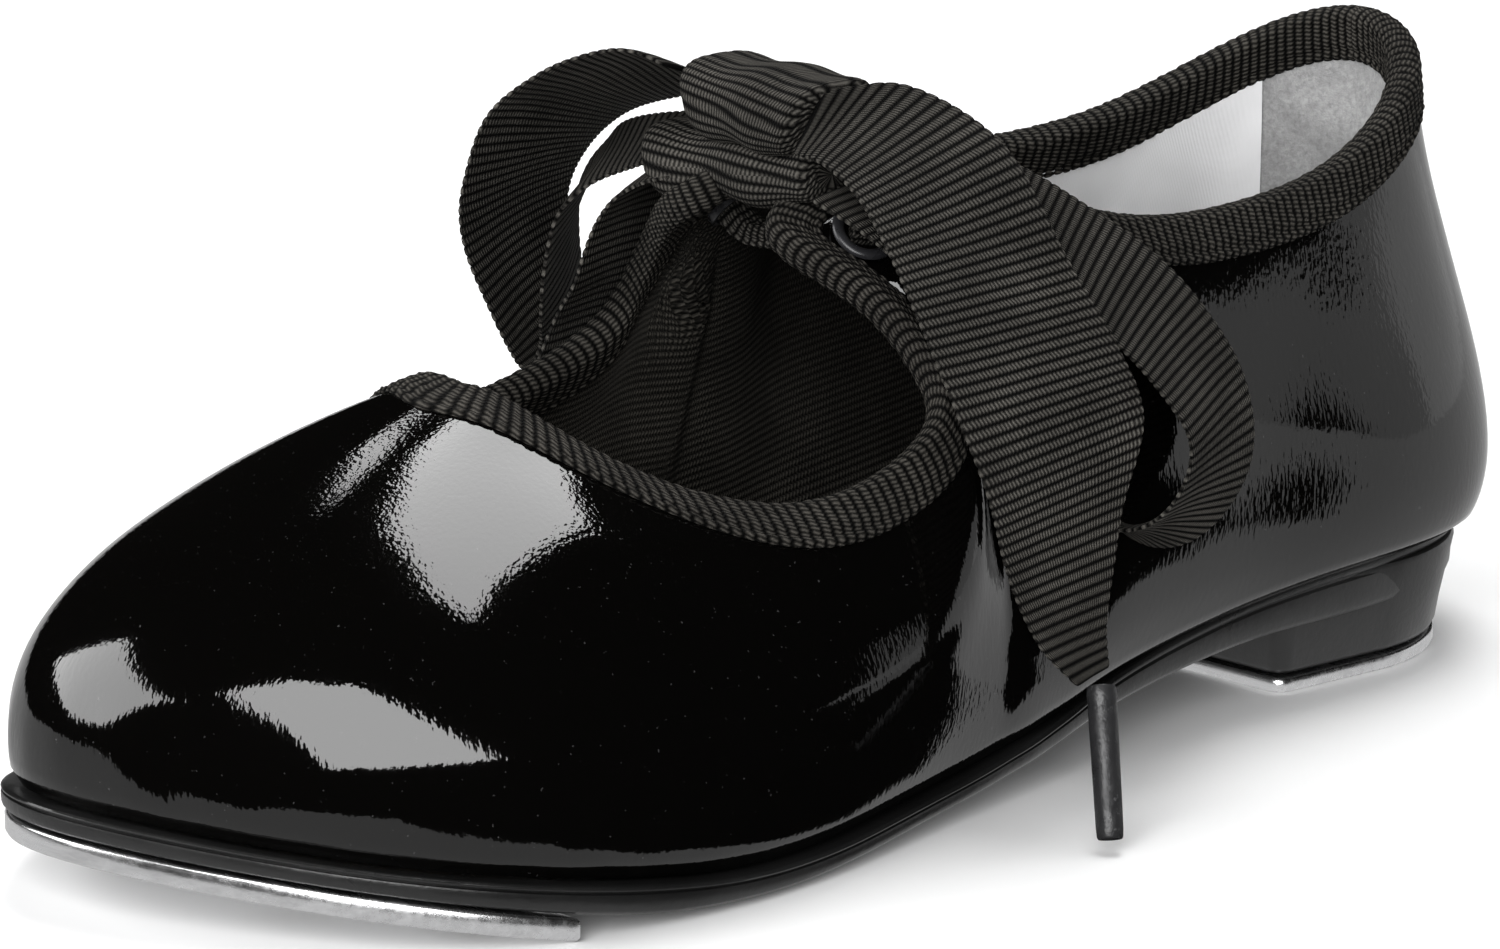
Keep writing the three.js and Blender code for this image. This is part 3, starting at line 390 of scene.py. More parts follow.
def cloth_black(name, pitch, shade, twist, relief=0.00020, ribs=False, groove=0.04):
    """A ribbed black tape. The ribs lie across it, pitch apart in millimetres; twist is how many yarns
    cross each millimetre; groove is how dark the painted shade in the valleys between the ribs is; ribs is
    for a cloth whose mesh has none."""
    material, tree, inputs = new_material(name, shade, 0.8)
    across, along = weave_uv(tree)
    sway = calc(tree, "MULTIPLY", noise(tree, 320, 2.0), 0.5)
    rib = calc(tree, "MULTIPLY", along, 2 * math.pi / pitch)
    crest = calc(tree, "MULTIPLY", calc(tree, "COSINE", rib), -1.0)
    lean = calc(tree, "MULTIPLY", calc(tree, "SINE", rib), 0.9)
    turns = calc(tree, "MULTIPLY", calc(tree, "ADD", across, sway), 2 * math.pi * twist)
    odd = calc(tree, "MULTIPLY", calc(tree, "FLOOR", calc(tree, "DIVIDE", along, pitch)), 2.4)
    yarn = calc(tree, "SINE", calc(tree, "ADD", calc(tree, "ADD", turns, lean), odd))
    fuzz = noise(tree, 5200, 2.0, 0.7)
    height = calc(tree, "ADD", calc(tree, "MULTIPLY", yarn, 0.35), calc(tree, "MULTIPLY", fuzz, 0.7))
    if ribs:
        height = calc(tree, "ADD", height, calc(tree, "MULTIPLY", crest, 0.8))
    # Painted shade: the colour is darkened in the valleys between the ribs.
    painted_valley_shade = spread(tree, crest, -0.9, 0.5, groove, 1.15)
    patch = spread(tree, noise(tree, 160, 3.0), 0.25, 0.75, 0.7, 1.3)
    # Painted highlight and shade on the yarns: lighter on their crests and darker where they dip, with a
    # random fuzz tone mixed in.
    threads = spread(tree, calc(tree, "ADD", yarn, calc(tree, "MULTIPLY", fuzz, 1.5)), -0.5, 2.0, 0.05, 2.1)
    tone = calc(tree, "MULTIPLY", calc(tree, "MULTIPLY", painted_valley_shade, patch), threads)
    tint = node(tree, "VectorMath", {"operation": "SCALE"})
    put(tree, tint.inputs[0], shade)
    put(tree, tint.inputs["Scale"], tone)
    put(tree, inputs["Base Color"], tint.outputs[0])
    put(tree, inputs["Normal"], bump(tree, height, relief, 0.9))
    put(tree, inputs["Sheen Weight"], 0.012)
    put(tree, inputs["Sheen Roughness"], 0.5)
    put(tree, inputs["Sheen Tint"], (0.5, 0.5, 0.5, 1))
    put(tree, inputs["Specular IOR Level"], 0.06)
    return material


def white_lining():
    material, tree, inputs = new_material("heel_lining", (0.4, 0.4, 0.4), 0.95)
    fibres = noise(tree, 1500, 4.0, 0.8)
    cloud = noise(tree, 130, 3.0, 0.6)
    tone = calc(tree, "MULTIPLY", fibres, cloud)
    felt = mixed(tree, spread(tree, tone, 0.12, 0.42), (0.20, 0.20, 0.20), (0.46, 0.46, 0.46))
    put(tree, inputs["Base Color"], felt)
    put(tree, inputs["Normal"], bump(tree, fibres, 0.0003, 0.7))
    put(tree, inputs["Sheen Weight"], 0.3)
    return material


def satin():
    material, tree, inputs = new_material("label", (0.80, 0.80, 0.81), 0.5)
    across, _ = weave_uv(tree)
    threads_per_mm = 5
    threads = calc(tree, "SINE", calc(tree, "MULTIPLY", across, 2 * math.pi * threads_per_mm))
    crease = noise(tree, 90, 2.0)
    # Painted shade: the label is greyer in the hollows of its wrinkles and whiter on their ridges, from the
    # same noise as the bump.
    white = mixed(tree, spread(tree, crease, 0.3, 0.7), (0.84, 0.84, 0.85), (0.93, 0.93, 0.94))
    put(tree, inputs["Base Color"], white)
    normal = bump(tree, crease, 0.0012, 0.5)
    put(tree, inputs["Normal"], bump(tree, threads, 0.00003, 0.5, normal))
    return material


def pvc():
    material, tree, inputs = new_material("sole", (0.008, 0.008, 0.0085), 0.32)
    grain = noise(tree, 1300, 3.0, 0.6)
    put(tree, inputs["Roughness"], spread(tree, noise(tree, 60, 4.0, 0.6), 0.3, 0.7, 0.22, 0.42))
    scuffs = spread(tree, noise(tree, 35, 4.0), 0.35, 0.75)
    put(tree, inputs["Base Color"], mixed(tree, scuffs, (0.006, 0.006, 0.006), (0.018, 0.018, 0.018)))
    put(tree, inputs["Normal"], bump(tree, grain, 0.00009, 0.5))
    return material


def brushed_metal(name, colour, roughness, stretch):
    material, tree, inputs = new_material(name, colour, roughness, Metallic=1.0)
    scratches = noise(tree, 900, 4.0, 0.7, stretch=stretch)
    wear = calc(tree, "MULTIPLY", scratches, noise(tree, 70, 3.0))
    put(tree, inputs["Roughness"], spread(tree, wear, 0.1, 0.4, roughness * 0.7, roughness * 1.5))
    dull = tuple(0.8 * part for part in colour)
    put(tree, inputs["Base Color"], mixed(tree, spread(tree, scratches, 0.35, 0.65), dull, colour))
    put(tree, inputs["Normal"], bump(tree, scratches, 0.00006, 0.5))
    return material


def enamel():
    material, tree, inputs = new_material("eyelet", (0.02, 0.02, 0.022), 0.28, Metallic=0.2)
    chips = noise(tree, 700, 3.0)
    put(tree, inputs["Roughness"], spread(tree, chips, 0.3, 0.7, 0.2, 0.4))
    put(tree, inputs["Normal"], bump(tree, chips, 0.00004, 0.4))
    return material


def moulded_plastic():
    material, tree, inputs = new_material("aglet", (0.02, 0.02, 0.021), 0.35)
    dents = noise(tree, 420, 4.0, 0.65)
    flecks = spread(tree, noise(tree, 900, 4.0, 0.8), 0.62, 0.72)
    put(tree, inputs["Base Color"], mixed(tree, flecks, (0.018, 0.018, 0.019), (0.09, 0.09, 0.09)))
    put(tree, inputs["Roughness"], spread(tree, dents, 0.3, 0.7, 0.25, 0.5))
    put(tree, inputs["Normal"], bump(tree, dents, 0.0004, 0.6))
    return material


def fibre_board():
    material, tree, inputs = new_material("board", (0.30, 0.21, 0.13), 0.9)
    fibres = noise(tree, 900, 5.0, 0.8, stretch=(1.0, 0.25, 1.0))
    put(tree, inputs["Base Color"], mixed(tree, fibres, (0.16, 0.11, 0.07), (0.42, 0.31, 0.2)))
    put(tree, inputs["Normal"], bump(tree, fibres, 0.0003, 0.6))
    return material


PATENT = patent()
GROSGRAIN = cloth_black("ribbon", 1.0, (0.0345, 0.0325, 0.0288), 2.7)
BINDING_TAPE = cloth_black("binding", 1.2, (0.0270, 0.0252, 0.0220), 2.3)
BLACK_LINING = cloth_black("black_lining", 0.75, (0.0160, 0.0148, 0.0126), 2.4, 0.00016, True, 0.6)
SOCK_CLOTH = cloth_black("sock", 0.9, (0.0125, 0.0118, 0.0108), 2.0, 0.00016, True)
HEEL_LINING = white_lining()
LABEL = satin()
SOLE = pvc()
TAP = brushed_metal("tap", (0.82, 0.82, 0.83), 0.24, (1.0, 0.08, 1.0))
SCREW = brushed_metal("screw", (0.62, 0.61, 0.60), 0.3, (1.0, 1.0, 0.3))
SHANK = brushed_metal("shank", (0.50, 0.50, 0.51), 0.35, (0.1, 1.0, 1.0))
ENAMEL = enamel()
AGLET = moulded_plastic()
BOARD = fibre_board()

CAD_FINISH = {
    "insole_board_rear": BOARD, "insole_board_forepart": BOARD, "heel_counter": BOARD, "toe_puff": BOARD,
    "steel_shank": SHANK,
}

# ---------------------------------------------------------------- upper
UPPER_STEPS = 16  # columns of the outer for each station
OUTER_RIM = 0.6  # the outer ends this far below the topline, inside the tape
OUTER_FOOT = 0.03  # the height v at which the wall turns under
WALL_COUNT = RING_COUNT // RING_STEPS


def turned_edge(s, inset, rise):
    """The outer's lasted edge: this far in from the feather line and this far above the sole."""
    foot, out, _, _, _ = ring_sample(s)
    return foot - out * inset + UP * rise


def upper_outer():
    s = np.arange(WALL_COUNT * UPPER_STEPS) / (WALL_COUNT * UPPER_STEPS)
    rim = v_below_top(s, OUTER_RIM)[:, None]
    rise = np.linspace(0, 1, 45)[None, :]
    heights = OUTER_FOOT + (rim - OUTER_FOOT) * rise
    face = layer(s, heights, 0.0)
    # Slow waves of the leather, and the gathers where it is pulled over the toe of the last.
    calm = smoothstep(0.0, 0.12, rise) * (1 - smoothstep(0.9, 1.0, rise))
    relief = ripple(face, 30, 0.06) + ripple(face, 12, 0.012)
    gather = ripple(face * np.array([1, 1, 0.25]), 6, 0.05) * (1 - smoothstep(0.05, 0.3, rise))
    gather = gather * smoothstep(95, 120, face[..., 0])
    face = face + wall_normal(s, heights) * (relief * calm + gather * smoothstep(0, 0.04, rise))[..., None]
    inner = layer(s, heights[:, ::-2], OUTER_THICKNESS)
    under = [turned_edge(s, LASTING_MARGIN, 0.0), turned_edge(s, 0.6, 0.0)]
    back = [turned_edge(s, OUTER_THICKNESS + 0.4, OUTER_THICKNESS),
            turned_edge(s, LASTING_MARGIN, OUTER_THICKNESS)]
    rows = np.concatenate([np.stack(under, 1), face, inner, np.stack(back, 1)], axis=1)
    made = grid("upper_outer", rows, PATENT, wrap_rows=True, wrap_cols=True, flip=True, sharp=50)
    fitted(made, "patent", ["vamp", "quarters"], *BEND)


# ---------------------------------------------------------------- binding
RIB_PITCH = 1.2
RIB_STEPS = 6
BINDING_DEPTH = 4.2
BINDING_STANDS_OUT = 0.62  # beyond the outer's face
BINDING_EDGE = 0.12  # how far its lower edge stands out
SEAM_DROP, SEAM_WIDTH, SEAM_PULL = 3.15, 0.35, 0.28  # the seam's place below the topline, and its groove
FOLD_RISE = 1.15  # the fold's height above the topline


def rib_shape(along, pitch):
    """0 in the narrow valleys between the ribs, 1 on their rounded tops."""
    part = (along / pitch) % 1
    return np.sqrt(np.clip(1 - (2 * part - 1) ** 2 * 0.96, 0, 1))


def topline_binding():
    table_s, table_length = topline_length()
    length = table_length[-1]
    count = int(round(length / RIB_PITCH)) * RIB_STEPS
    along = np.arange(count + 1) / count * length
    s = np.interp(np.arange(count) / count * length, table_length, table_s)
    low = v_below_top(s, BINDING_DEPTH)[:, None]
    top = wall(s, np.array([1.0]))[:, 0]
    up = top - wall(s, np.array([0.97]))[:, 0]
    up /= np.linalg.norm(up, axis=1, keepdims=True)
    normal = wall_normal(s, np.array([1.0]))[:, 0]
    inside = LINING_RIM_DEPTH + LINING_THICKNESS
    side_rows = np.linspace(0, 1, 16)
    v = low + (1 - low) * side_rows[None, :]
    # The seam pulls the tape in, a little above its lower edge.
    drop = (1 - side_rows) * BINDING_DEPTH
    seam = np.exp(-(((drop - SEAM_DROP) / SEAM_WIDTH) ** 2))
    edge = smoothstep(0.0, 0.5, BINDING_DEPTH - drop)
    height = BINDING_EDGE + (BINDING_STANDS_OUT - BINDING_EDGE) * edge - SEAM_PULL * seam
    outer = layer(s, v, -height[None, :])
    middle = top - normal * (inside / 2)
    half = inside / 2 + BINDING_STANDS_OUT
    turn = np.linspace(0, np.pi, 13)[1:-1]
    fold = (middle[:, None] + normal[:, None] * (half * np.cos(turn))[None, :, None]
            + up[:, None] * (FOLD_RISE * np.sin(turn))[None, :, None])
    inner_face = layer(s, v[:, ::-1], (inside + height[::-1])[None, :])
    rows = np.concatenate([outer, fold, inner_face], axis=1)
    # Ribs across the tape stand out from it all round, with braided threads along each.
    lift = np.roll(rows, -1, axis=1) - np.roll(rows, 1, axis=1)
    lift[:, 0] = rows[:, 1] - rows[:, 0]
    lift[:, -1] = rows[:, -1] - rows[:, -2]
    forward = np.roll(rows, -1, axis=0) - np.roll(rows, 1, axis=0)
    outward = np.cross(lift, forward)
    outward /= np.linalg.norm(outward, axis=-1, keepdims=True)
    reach = arc_length(rows[0])
    sway = 0.16 * np.sin(2 * np.pi * reach / 1.7)[None, :] * np.sin(along[:-1, None] * 0.9)
    rib = rib_shape(along[:-1, None] + sway, RIB_PITCH)
    odd = np.floor(along[:-1, None] / RIB_PITCH) % 2
    braid = np.sin(2 * np.pi * reach[None, :] / 1.05 + np.pi * odd)
    fade = np.concatenate([1 - 0.7 * seam, np.ones(len(turn)), (1 - 0.7 * seam)[::-1]])
    rows = rows + outward * (((rib - 0.7) * 0.22 + 0.055 * braid * rib) * fade)[..., None]
    hidden = [layer(s, v[:, 1:2], depth) for depth in (inside - 0.02, 0.02)]
    rows = np.concatenate([rows, *hidden], axis=1)
    girth = arc_length(rows[0])
    uv = cloth_uv(np.append(girth, girth[-1] + 0.5), along)
    made = grid("topline_binding", rows, BINDING_TAPE, wrap_rows=True, wrap_cols=True, uv=uv, flip=True)
    fitted(made, "binding", ["vamp_binding", "quarter_binding"], *BEND)


# ---------------------------------------------------------------- linings
HEEL_LINING_X = 11.0  # where the white lining of the heel is sewn to the black one
LINING_RIM = 0.7  # below the topline, inside the tape
LINING_FOOT = 0.10  # the height v of the lining's lower edge
LABEL_X = (18, -14)
LABEL_RISE = (0.52, 0.93)  # the label's lower and upper edge, as shares of the lining's height


def lining_depth(rise):
    """The lining closes up against the outer towards the topline."""
    return LINING_DEPTH + (LINING_RIM_DEPTH - LINING_DEPTH) * smoothstep(0.62, 0.95, rise)


def lining_heights(s, rise):
    """The heights v at these shares of the lining's height."""
    return LINING_FOOT + (v_below_top(s, LINING_RIM)[:, None] - LINING_FOOT) * rise


def lining_rows(s):
    """The lining's inner and outer faces. It spans the hollow below each tab and doesn't fold into it."""
    rise = np.linspace(0, 1, 24)[None, :]
    heights = lining_heights(s, rise)
    own = wall_normal(s, heights)
    around = sum(wall_normal(s + step, heights) for step in np.linspace(-0.024, 0.024, 9))
    around /= np.linalg.norm(around, axis=-1, keepdims=True)
    normal = around + (own - around) * smoothstep(0.8, 0.97, rise)[..., None]
    depth = lining_depth(rise)[..., None]
    face = wall(s, heights)
    return face - normal * (depth + LINING_THICKNESS), (face - normal * depth)[:, ::-1]


def lining_piece(name, s, material):
    inner, outer = lining_rows(s)
    rows = np.concatenate([inner, outer], axis=1)
    length = arc_length(inner[:, 12])
    climb = np.linalg.norm(np.diff(inner, axis=1), axis=-1).cumsum(axis=1)
    climb = np.concatenate([np.zeros((len(s), 1)), climb], axis=1)
    climb = np.concatenate([climb, climb[:, ::-1], climb[:, :1]], axis=1)
    rows, uv = capped(rows, np.stack([np.broadcast_to(length[:, None], climb.shape), climb], -1))
    return grid(name, rows, material, wrap_cols=True, uv=uv, sharp=60)


def ring_place_at(x, lateral):
    """The place s where the topline's x is this, on one side of the heel."""
    s = np.linspace(0, 0.25, 2000) if lateral else np.linspace(1, 0.75, 2000)
    _, _, top, _, _ = ring_sample(s)
    return np.interp(x, top[:, 0], s)


def linings():
    lateral, medial = ring_place_at(HEEL_LINING_X, True), ring_place_at(HEEL_LINING_X, False)
    seam = 0.0005
    black = lining_piece("black_lining", np.linspace(lateral + seam, medial - seam, 620), BLACK_LINING)
    fitted(black, "black_lining", ["vamp_lining", "quarter_lining_lateral", "quarter_lining_medial"], *BEND)
    white = lining_piece("heel_lining_felt", np.linspace(medial - 1, lateral, 200), HEEL_LINING)
    fitted(white, "heel_lining", ["heel_lining"], "rear_shoe")


def size_label():
    """A blank satin label, slightly wrinkled, on the lining of the inner side."""
    s = np.linspace(*(ring_place_at(x, False) for x in LABEL_X), 90)
    rise = np.linspace(*LABEL_RISE, 30)[None, :]
    heights = lining_heights(s, rise)
    depth = lining_depth(rise) + LINING_THICKNESS + 0.12
    face = layer(s, heights, depth + 0.22)
    wrinkle = ripple(face, 9, 0.10)
    face = face - wall_normal(s, heights) * wrinkle[..., None]
    rows = np.concatenate([face, layer(s, heights[:, ::-1], depth[:, ::-1])], axis=1)
    length, girth = np.linspace(0, 34, len(s)), np.linspace(0, 40, rows.shape[1] + 1)
    rows, uv = capped(rows, cloth_uv(girth, length)[..., ::-1])
    made = grid("satin_label", rows, LABEL, wrap_cols=True, uv=uv, sharp=50)
    fitted(made, "label", ["size_label"], "rear_shoe")


# ---------------------------------------------------------------- sole and heel
# The sole's edge: (inset, share of its height from the bottom), with the bead line near the top.
EDGE_PROFILE = [(0.9, 0.0), (0.35, 0.05), (0.08, 0.18), (0.0, 0.35), (0.0, 0.60), (0.05, 0.68), (0.38, 0.72),
                (0.38, 0.77), (0.05, 0.81), (0.0, 0.88), (0.12, 0.96), (0.5, 1.0)]
FACE_INSETS = [22, 16, 10, 5, 2.2]  # rows of the sole's faces, from the middle to the edge
HEEL_RADIUS, HEEL_HALF_WIDTH, HEEL_BREAST_X, HEEL_FOOT_SCALE = 22.0, 21.2, 16.0, 0.925
HEEL_TOP_RADIUS, HEEL_TOP_Z = 22.3, 11.7
HEEL_TAP_THICKNESS = 1.6


def sole_plate():
    """The outsole's plate, whose rounded, grooved edge follows the feather line."""
    s = np.arange(WALL_COUNT * 12) / (WALL_COUNT * 12)
    foot, out, _, _, _ = ring_sample(s)
    margin = (-1.7 + 2.9 * smoothstep(10, 70, foot[:, 0]))[:, None]
    profile = [(inset, 0.0) for inset in FACE_INSETS] + EDGE_PROFILE
    profile += [(inset, 1.0) for inset in FACE_INSETS[::-1]]
    rows = []
    for inset, share in profile:
        xy = foot[:, :2] + out[:, :2] * (margin - inset)
        low, high = sole_bottom(xy[:, 0]), feather_height(xy[:, 0]) - GAP
        rows.append(np.column_stack([xy, low + (high - low) * share]))
    return grid("outsole", np.stack(rows, 1), SOLE, wrap_rows=True, wrap_cols=True, flip=True, sharp=50)


def heel_outline(scale, inset=0.0, corner=2.0, per_arc=72):
    """The heel's plan: a round back, straight sides and a flat breast with small corner radii."""
    radius, half, breast = HEEL_RADIUS - inset, HEEL_HALF_WIDTH - inset, HEEL_BREAST_X - inset
    angle = np.linspace(np.pi / 2, 3 * np.pi / 2, per_arc)
    back = np.column_stack([radius * np.cos(angle), radius * np.sin(angle)])
    turn = np.linspace(-np.pi / 2, 0, 8)
    right = np.column_stack([breast - corner + corner * np.cos(turn), -half + corner + corner * np.sin(turn)])
    left = np.column_stack([right[::-1, 0], -right[::-1, 1]])
    return scale * np.vstack([back, right, left])


def stacked(name, outlines, material):
    """A closed pile of (plan outline, z) loops, shrunk to the middle at both ends."""
    loops = [np.column_stack([outline, np.broadcast_to(z, (len(outline),))]) for outline, z in outlines]
    first, last = (np.broadcast_to(loop.mean(axis=0), loop.shape) for loop in (loops[0], loops[-1]))
    return grid(name, np.stack([first, *loops, last], 1), material, wrap_rows=True, flip=True, sharp=50)


def heel_block():
    foot_z = HEEL_TAP_THICKNESS + GAP
    height = HEEL_TOP_Z - foot_z
    flush = HEEL_RADIUS - HEEL_TOP_RADIUS
    levels = [(0.7, 0.0), (0.2, 0.25), (0.0, 0.8), (0.0, 3.0), (flush, height - 0.4), (flush + 0.3, height)]
    outlines = []
    for inset, rise in levels:
        scale = HEEL_FOOT_SCALE + (1 - HEEL_FOOT_SCALE) * rise / height
        outlines.append((heel_outline(scale, inset), foot_z + rise))
    return stacked("heel_block", outlines, SOLE)


def outsole():
    made = joined("outsole", [sole_plate(), heel_block()])
    fitted(made, "sole", ["outsole_forepart", "outsole_shank_and_heel"], *BEND)


def heel_tap():
    levels = [(0.5, 0.0), (0.15, 0.12), (0.0, 0.4), (0.0, 1.3), (0.15, 1.5), (0.4, HEEL_TAP_THICKNESS)]
    made = stacked("heel_tap_plate", [(heel_outline(HEEL_FOOT_SCALE, inset), z) for inset, z in levels], TAP)
    countersunk(made, "heel")
    fitted(made, "tap", ["heel_tap"], "rear_shoe")


def toe_tap_outline(inset):
    """The toe tap's plan: the sole's edge round the toe, and a straight rear edge."""
    foot, out, _, _, _ = ring_sample(np.linspace(0.30, 0.70, 900))
    plan = foot[:, :2] + out[:, :2] * (0.9 - inset)
    rear = TOE_TAP_X + inset
    keep = plan[plan[:, 0] > rear]
    start, end = keep[0].copy(), keep[-1].copy()
    start[0] = end[0] = rear
    edge = np.vstack([start, keep, end])
    length = arc_length(edge)
    at = np.linspace(0, length[-1], 240)
    edge = np.column_stack([np.interp(at, length, edge[:, k]) for k in range(2)])
    rear_y = np.linspace(edge[-1, 1], edge[0, 1], 42)[1:-1]
    return np.vstack([edge, np.column_stack([np.full(len(rear_y), rear), rear_y])])


def toe_tap():
    rise = TOE_TAP_THICKNESS / math.cos(TOE_SPRING)
    levels = [(0.6, 0.0), (0.2, 0.1), (0.0, 0.42), (0.0, rise - 0.35), (0.15, rise - 0.1), (0.45, rise)]
    outlines = []
    for inset, height in levels:
        plan = toe_tap_outline(inset)
        outlines.append((plan, (plan[:, 0] - TOE_TAP_X) * math.tan(TOE_SPRING) + height))
    made = stacked("toe_tap_plate", outlines, TAP)
    countersunk(made, "toe")
    fitted(made, "tap", ["toe_tap"], "forefoot")


# ---------------------------------------------------------------- sock lining
SOCK_REST = 3.2  # the sock lining's underside above the feather line, on the insole board
# (inset from the feather line, rise above its underside), from the middle below to the middle above.
SOCK_PROFILE = [(20, 0.0), (8, 0.0), (3.6, 0.0), (3.3, 0.5), (3.2, 1.0), (3.5, 1.6), (4.6, 1.95), (9, 2.1),
                (14, 2.1), (20, 2.0)]


def sock_lining():
    s = np.arange(WALL_COUNT * 8) / (WALL_COUNT * 8)
    foot, out, _, _, _ = ring_sample(s)
    rows = []
    for inset, rise in SOCK_PROFILE:
        xy = foot[:, :2] - out[:, :2] * inset
        rows.append(np.column_stack([xy, feather_height(xy[:, 0]) + SOCK_REST + rise]))
    rows = np.stack(rows, 1)
    uv = np.concatenate([rows[..., :2], rows[:, :1, :2]], axis=1)
    uv = np.concatenate([uv, uv[:1]], axis=0)
    made = grid("sock_lining", rows, SOCK_CLOTH, wrap_rows=True, wrap_cols=True, uv=uv, flip=True, sharp=60)
    fitted(made, "sock", ["sock_lining_rear", "sock_lining_forepart"], *BEND)


# ---------------------------------------------------------------- ribbon
RIBBON_RIB = 1.0
RIBBON_HALF = 0.26
RIBBON_WIDTH = 16
RIBBON_CROWN = 0.5  # how far its middle stands out from the straight line between its edges


def open_curve(points, t):
    """Catmull-Rom curve through the points at t from 0 to 1."""
    p = np.array(points, float)
    p = np.vstack([2 * p[0] - p[1], p, 2 * p[-1] - p[-2]])
    spans = len(points) - 1
    place = np.clip(np.asarray(t) * spans, 0, spans - 1e-9)
    i = place.astype(int)
    u = (place - i)[:, None]
    a, b, c, d = p[i], p[i + 1], p[i + 2], p[i + 3]
    return 0.5 * (2 * b + (c - a) * u + (2 * a - 5 * b + 4 * c - d) * u**2 + (3 * b - a - 3 * c + d) * u**3)


def softened(points, times):
    """Rows of points relaxed towards their neighbours, ends kept."""
    for _ in range(times):
        points[1:-1] = 0.5 * points[1:-1] + 0.25 * (points[2:] + points[:-2])
    return points


def sheet_normals(sheet):
    normal = np.cross(np.gradient(sheet, axis=1), np.gradient(sheet, axis=0))
    return normal / np.linalg.norm(normal, axis=-1, keepdims=True)


def ribbon(name, front, rear, across=28):
    """A ribbed strip held between its two edges."""
    t = np.linspace(0, 1, 400)
    edges = [softened(open_curve(edge, t), 60) for edge in (front, rear)]
    length = arc_length((edges[0] + edges[1]) / 2)
    ribs = int(length[-1] / RIBBON_RIB)
    along = np.linspace(0, ribs * RIBBON_RIB, ribs * RIB_STEPS + 1)
    at = np.interp(along * length[-1] / along[-1], length, t)
    a, b = (np.column_stack([np.interp(at, t, edge[:, k]) for k in range(3)]) for edge in edges)
    u = np.linspace(0, 1, across)
    sheet = a[:, None] * (1 - u)[None, :, None] + b[:, None] * u[None, :, None]
    crown = RIBBON_CROWN * np.sin(np.pi * u)[None, :] * np.sin(np.pi * np.clip(at, 0, 1))[:, None] ** 0.5
    normal = sheet_normals(sheet)
    sheet = sheet + normal * crown[..., None]
    sheet = sheet + normal * ripple(sheet, 14, 0.12)[..., None]
    normal = sheet_normals(sheet)
    rib = rib_shape(along, RIBBON_RIB)[:, None]
    side = sheet[:, -1] - sheet[:, 0]
    side /= np.linalg.norm(side, axis=1, keepdims=True)
    edge = np.abs(2 * u - 1)[None, :] ** 8
    sheet = sheet + side[:, None] * (np.sign(u - 0.5)[None, :] * edge * 0.16 * rib)[..., None]
    thick = ((RIBBON_HALF + 0.11 * (rib - 0.6)) * (1 - 0.45 * edge))[..., None]
    rows = np.concatenate([sheet + normal * thick, (sheet - normal * thick)[:, ::-1]], axis=1)
    width = np.concatenate([u * RIBBON_WIDTH, RIBBON_WIDTH - u * RIBBON_WIDTH, [0]])
    rows, uv = capped(rows, cloth_uv(width, along))
    return grid(name, rows, GROSGRAIN, wrap_cols=True, uv=uv, sharp=70)


LATERAL_LOOP = (
    [(69, 9.4, 60.5), (62, 16, 57.5), (56, 21.5, 52.5), (50.5, 28, 45), (46.8, 32, 39.3), (44, 34, 33.5),
     (46, 34.6, 28.8), (50.6, 34.4, 26.4), (55.6, 33, 27.6), (59.4, 31, 33), (63, 27, 41.4),
     (66.8, 20, 50.6), (70.5, 10.2, 57.2)],
    [(60, 9.4, 62.8), (54, 13.5, 61), (48.6, 18, 57.4), (41, 24.5, 50.5), (35, 28.5, 43),
     (31.5, 30, 36.5), (32.5, 31, 29.5), (37.6, 31.8, 24.8), (44, 32, 22.8), (50, 31, 25.4), (53, 28, 36),
     (55.4, 21, 50.4), (61.5, 10.2, 58.4)],
)
LATERAL_TAIL = (
    [(72.2, 9.4, 61.6), (71.5, 12.8, 60.8), (71, 17.8, 57.4), (71, 23.4, 49.8), (70.8, 28.8, 41.4),
     (70.4, 33, 33.4), (70.4, 35.8, 26), (68.4, 38.2, 19), (65, 39.6, 14.8)],
    [(68.4, 9.4, 67), (59.5, 11.6, 66.6), (54.4, 18.6, 61.6), (53.6, 26.4, 52), (52.6, 32.4, 43.6),
     (52.4, 35.6, 37), (57.4, 37.4, 28.5), (61, 39.4, 20.5), (61.6, 40.2, 16)],
)
MEDIAL_LOOP = (
    [(71.5, -9.4, 67.2), (73.6, -12.4, 68.6), (75.4, -16.4, 67.8), (76.6, -21.6, 65.6), (77, -26.9, 61.8),
     (76.8, -31, 56.4), (76, -33.8, 50.8), (74, -35.2, 45.4), (71.6, -34.9, 40.2), (69.8, -34.2, 36),
     (68, -33.4, 33), (68, -31.2, 35.8), (70, -29, 38.5), (71.5, -26.8, 43), (71.5, -25.8, 47),
     (70.5, -25.2, 50.5), (69, -22, 53.8), (69, -16, 56.4), (69.5, -9.4, 58.6)],
    [(62.4, -9.4, 64), (62, -14.4, 63), (61.8, -19, 61.8), (61.6, -23.4, 60.2), (61.2, -27.6, 58.2),
     (60.7, -31.4, 56), (60.4, -34.2, 53), (60, -36, 49.6), (59.5, -37, 44.8), (58.8, -37, 40.4),
     (57, -35.8, 34.4), (57.6, -34.6, 37), (59.4, -34.9, 43.5), (60.5, -34, 49.4), (60.6, -32, 53),
     (61, -28.8, 56), (62.3, -25.2, 58.6), (63, -18, 60.3), (63.2, -9.4, 61.6)],
)
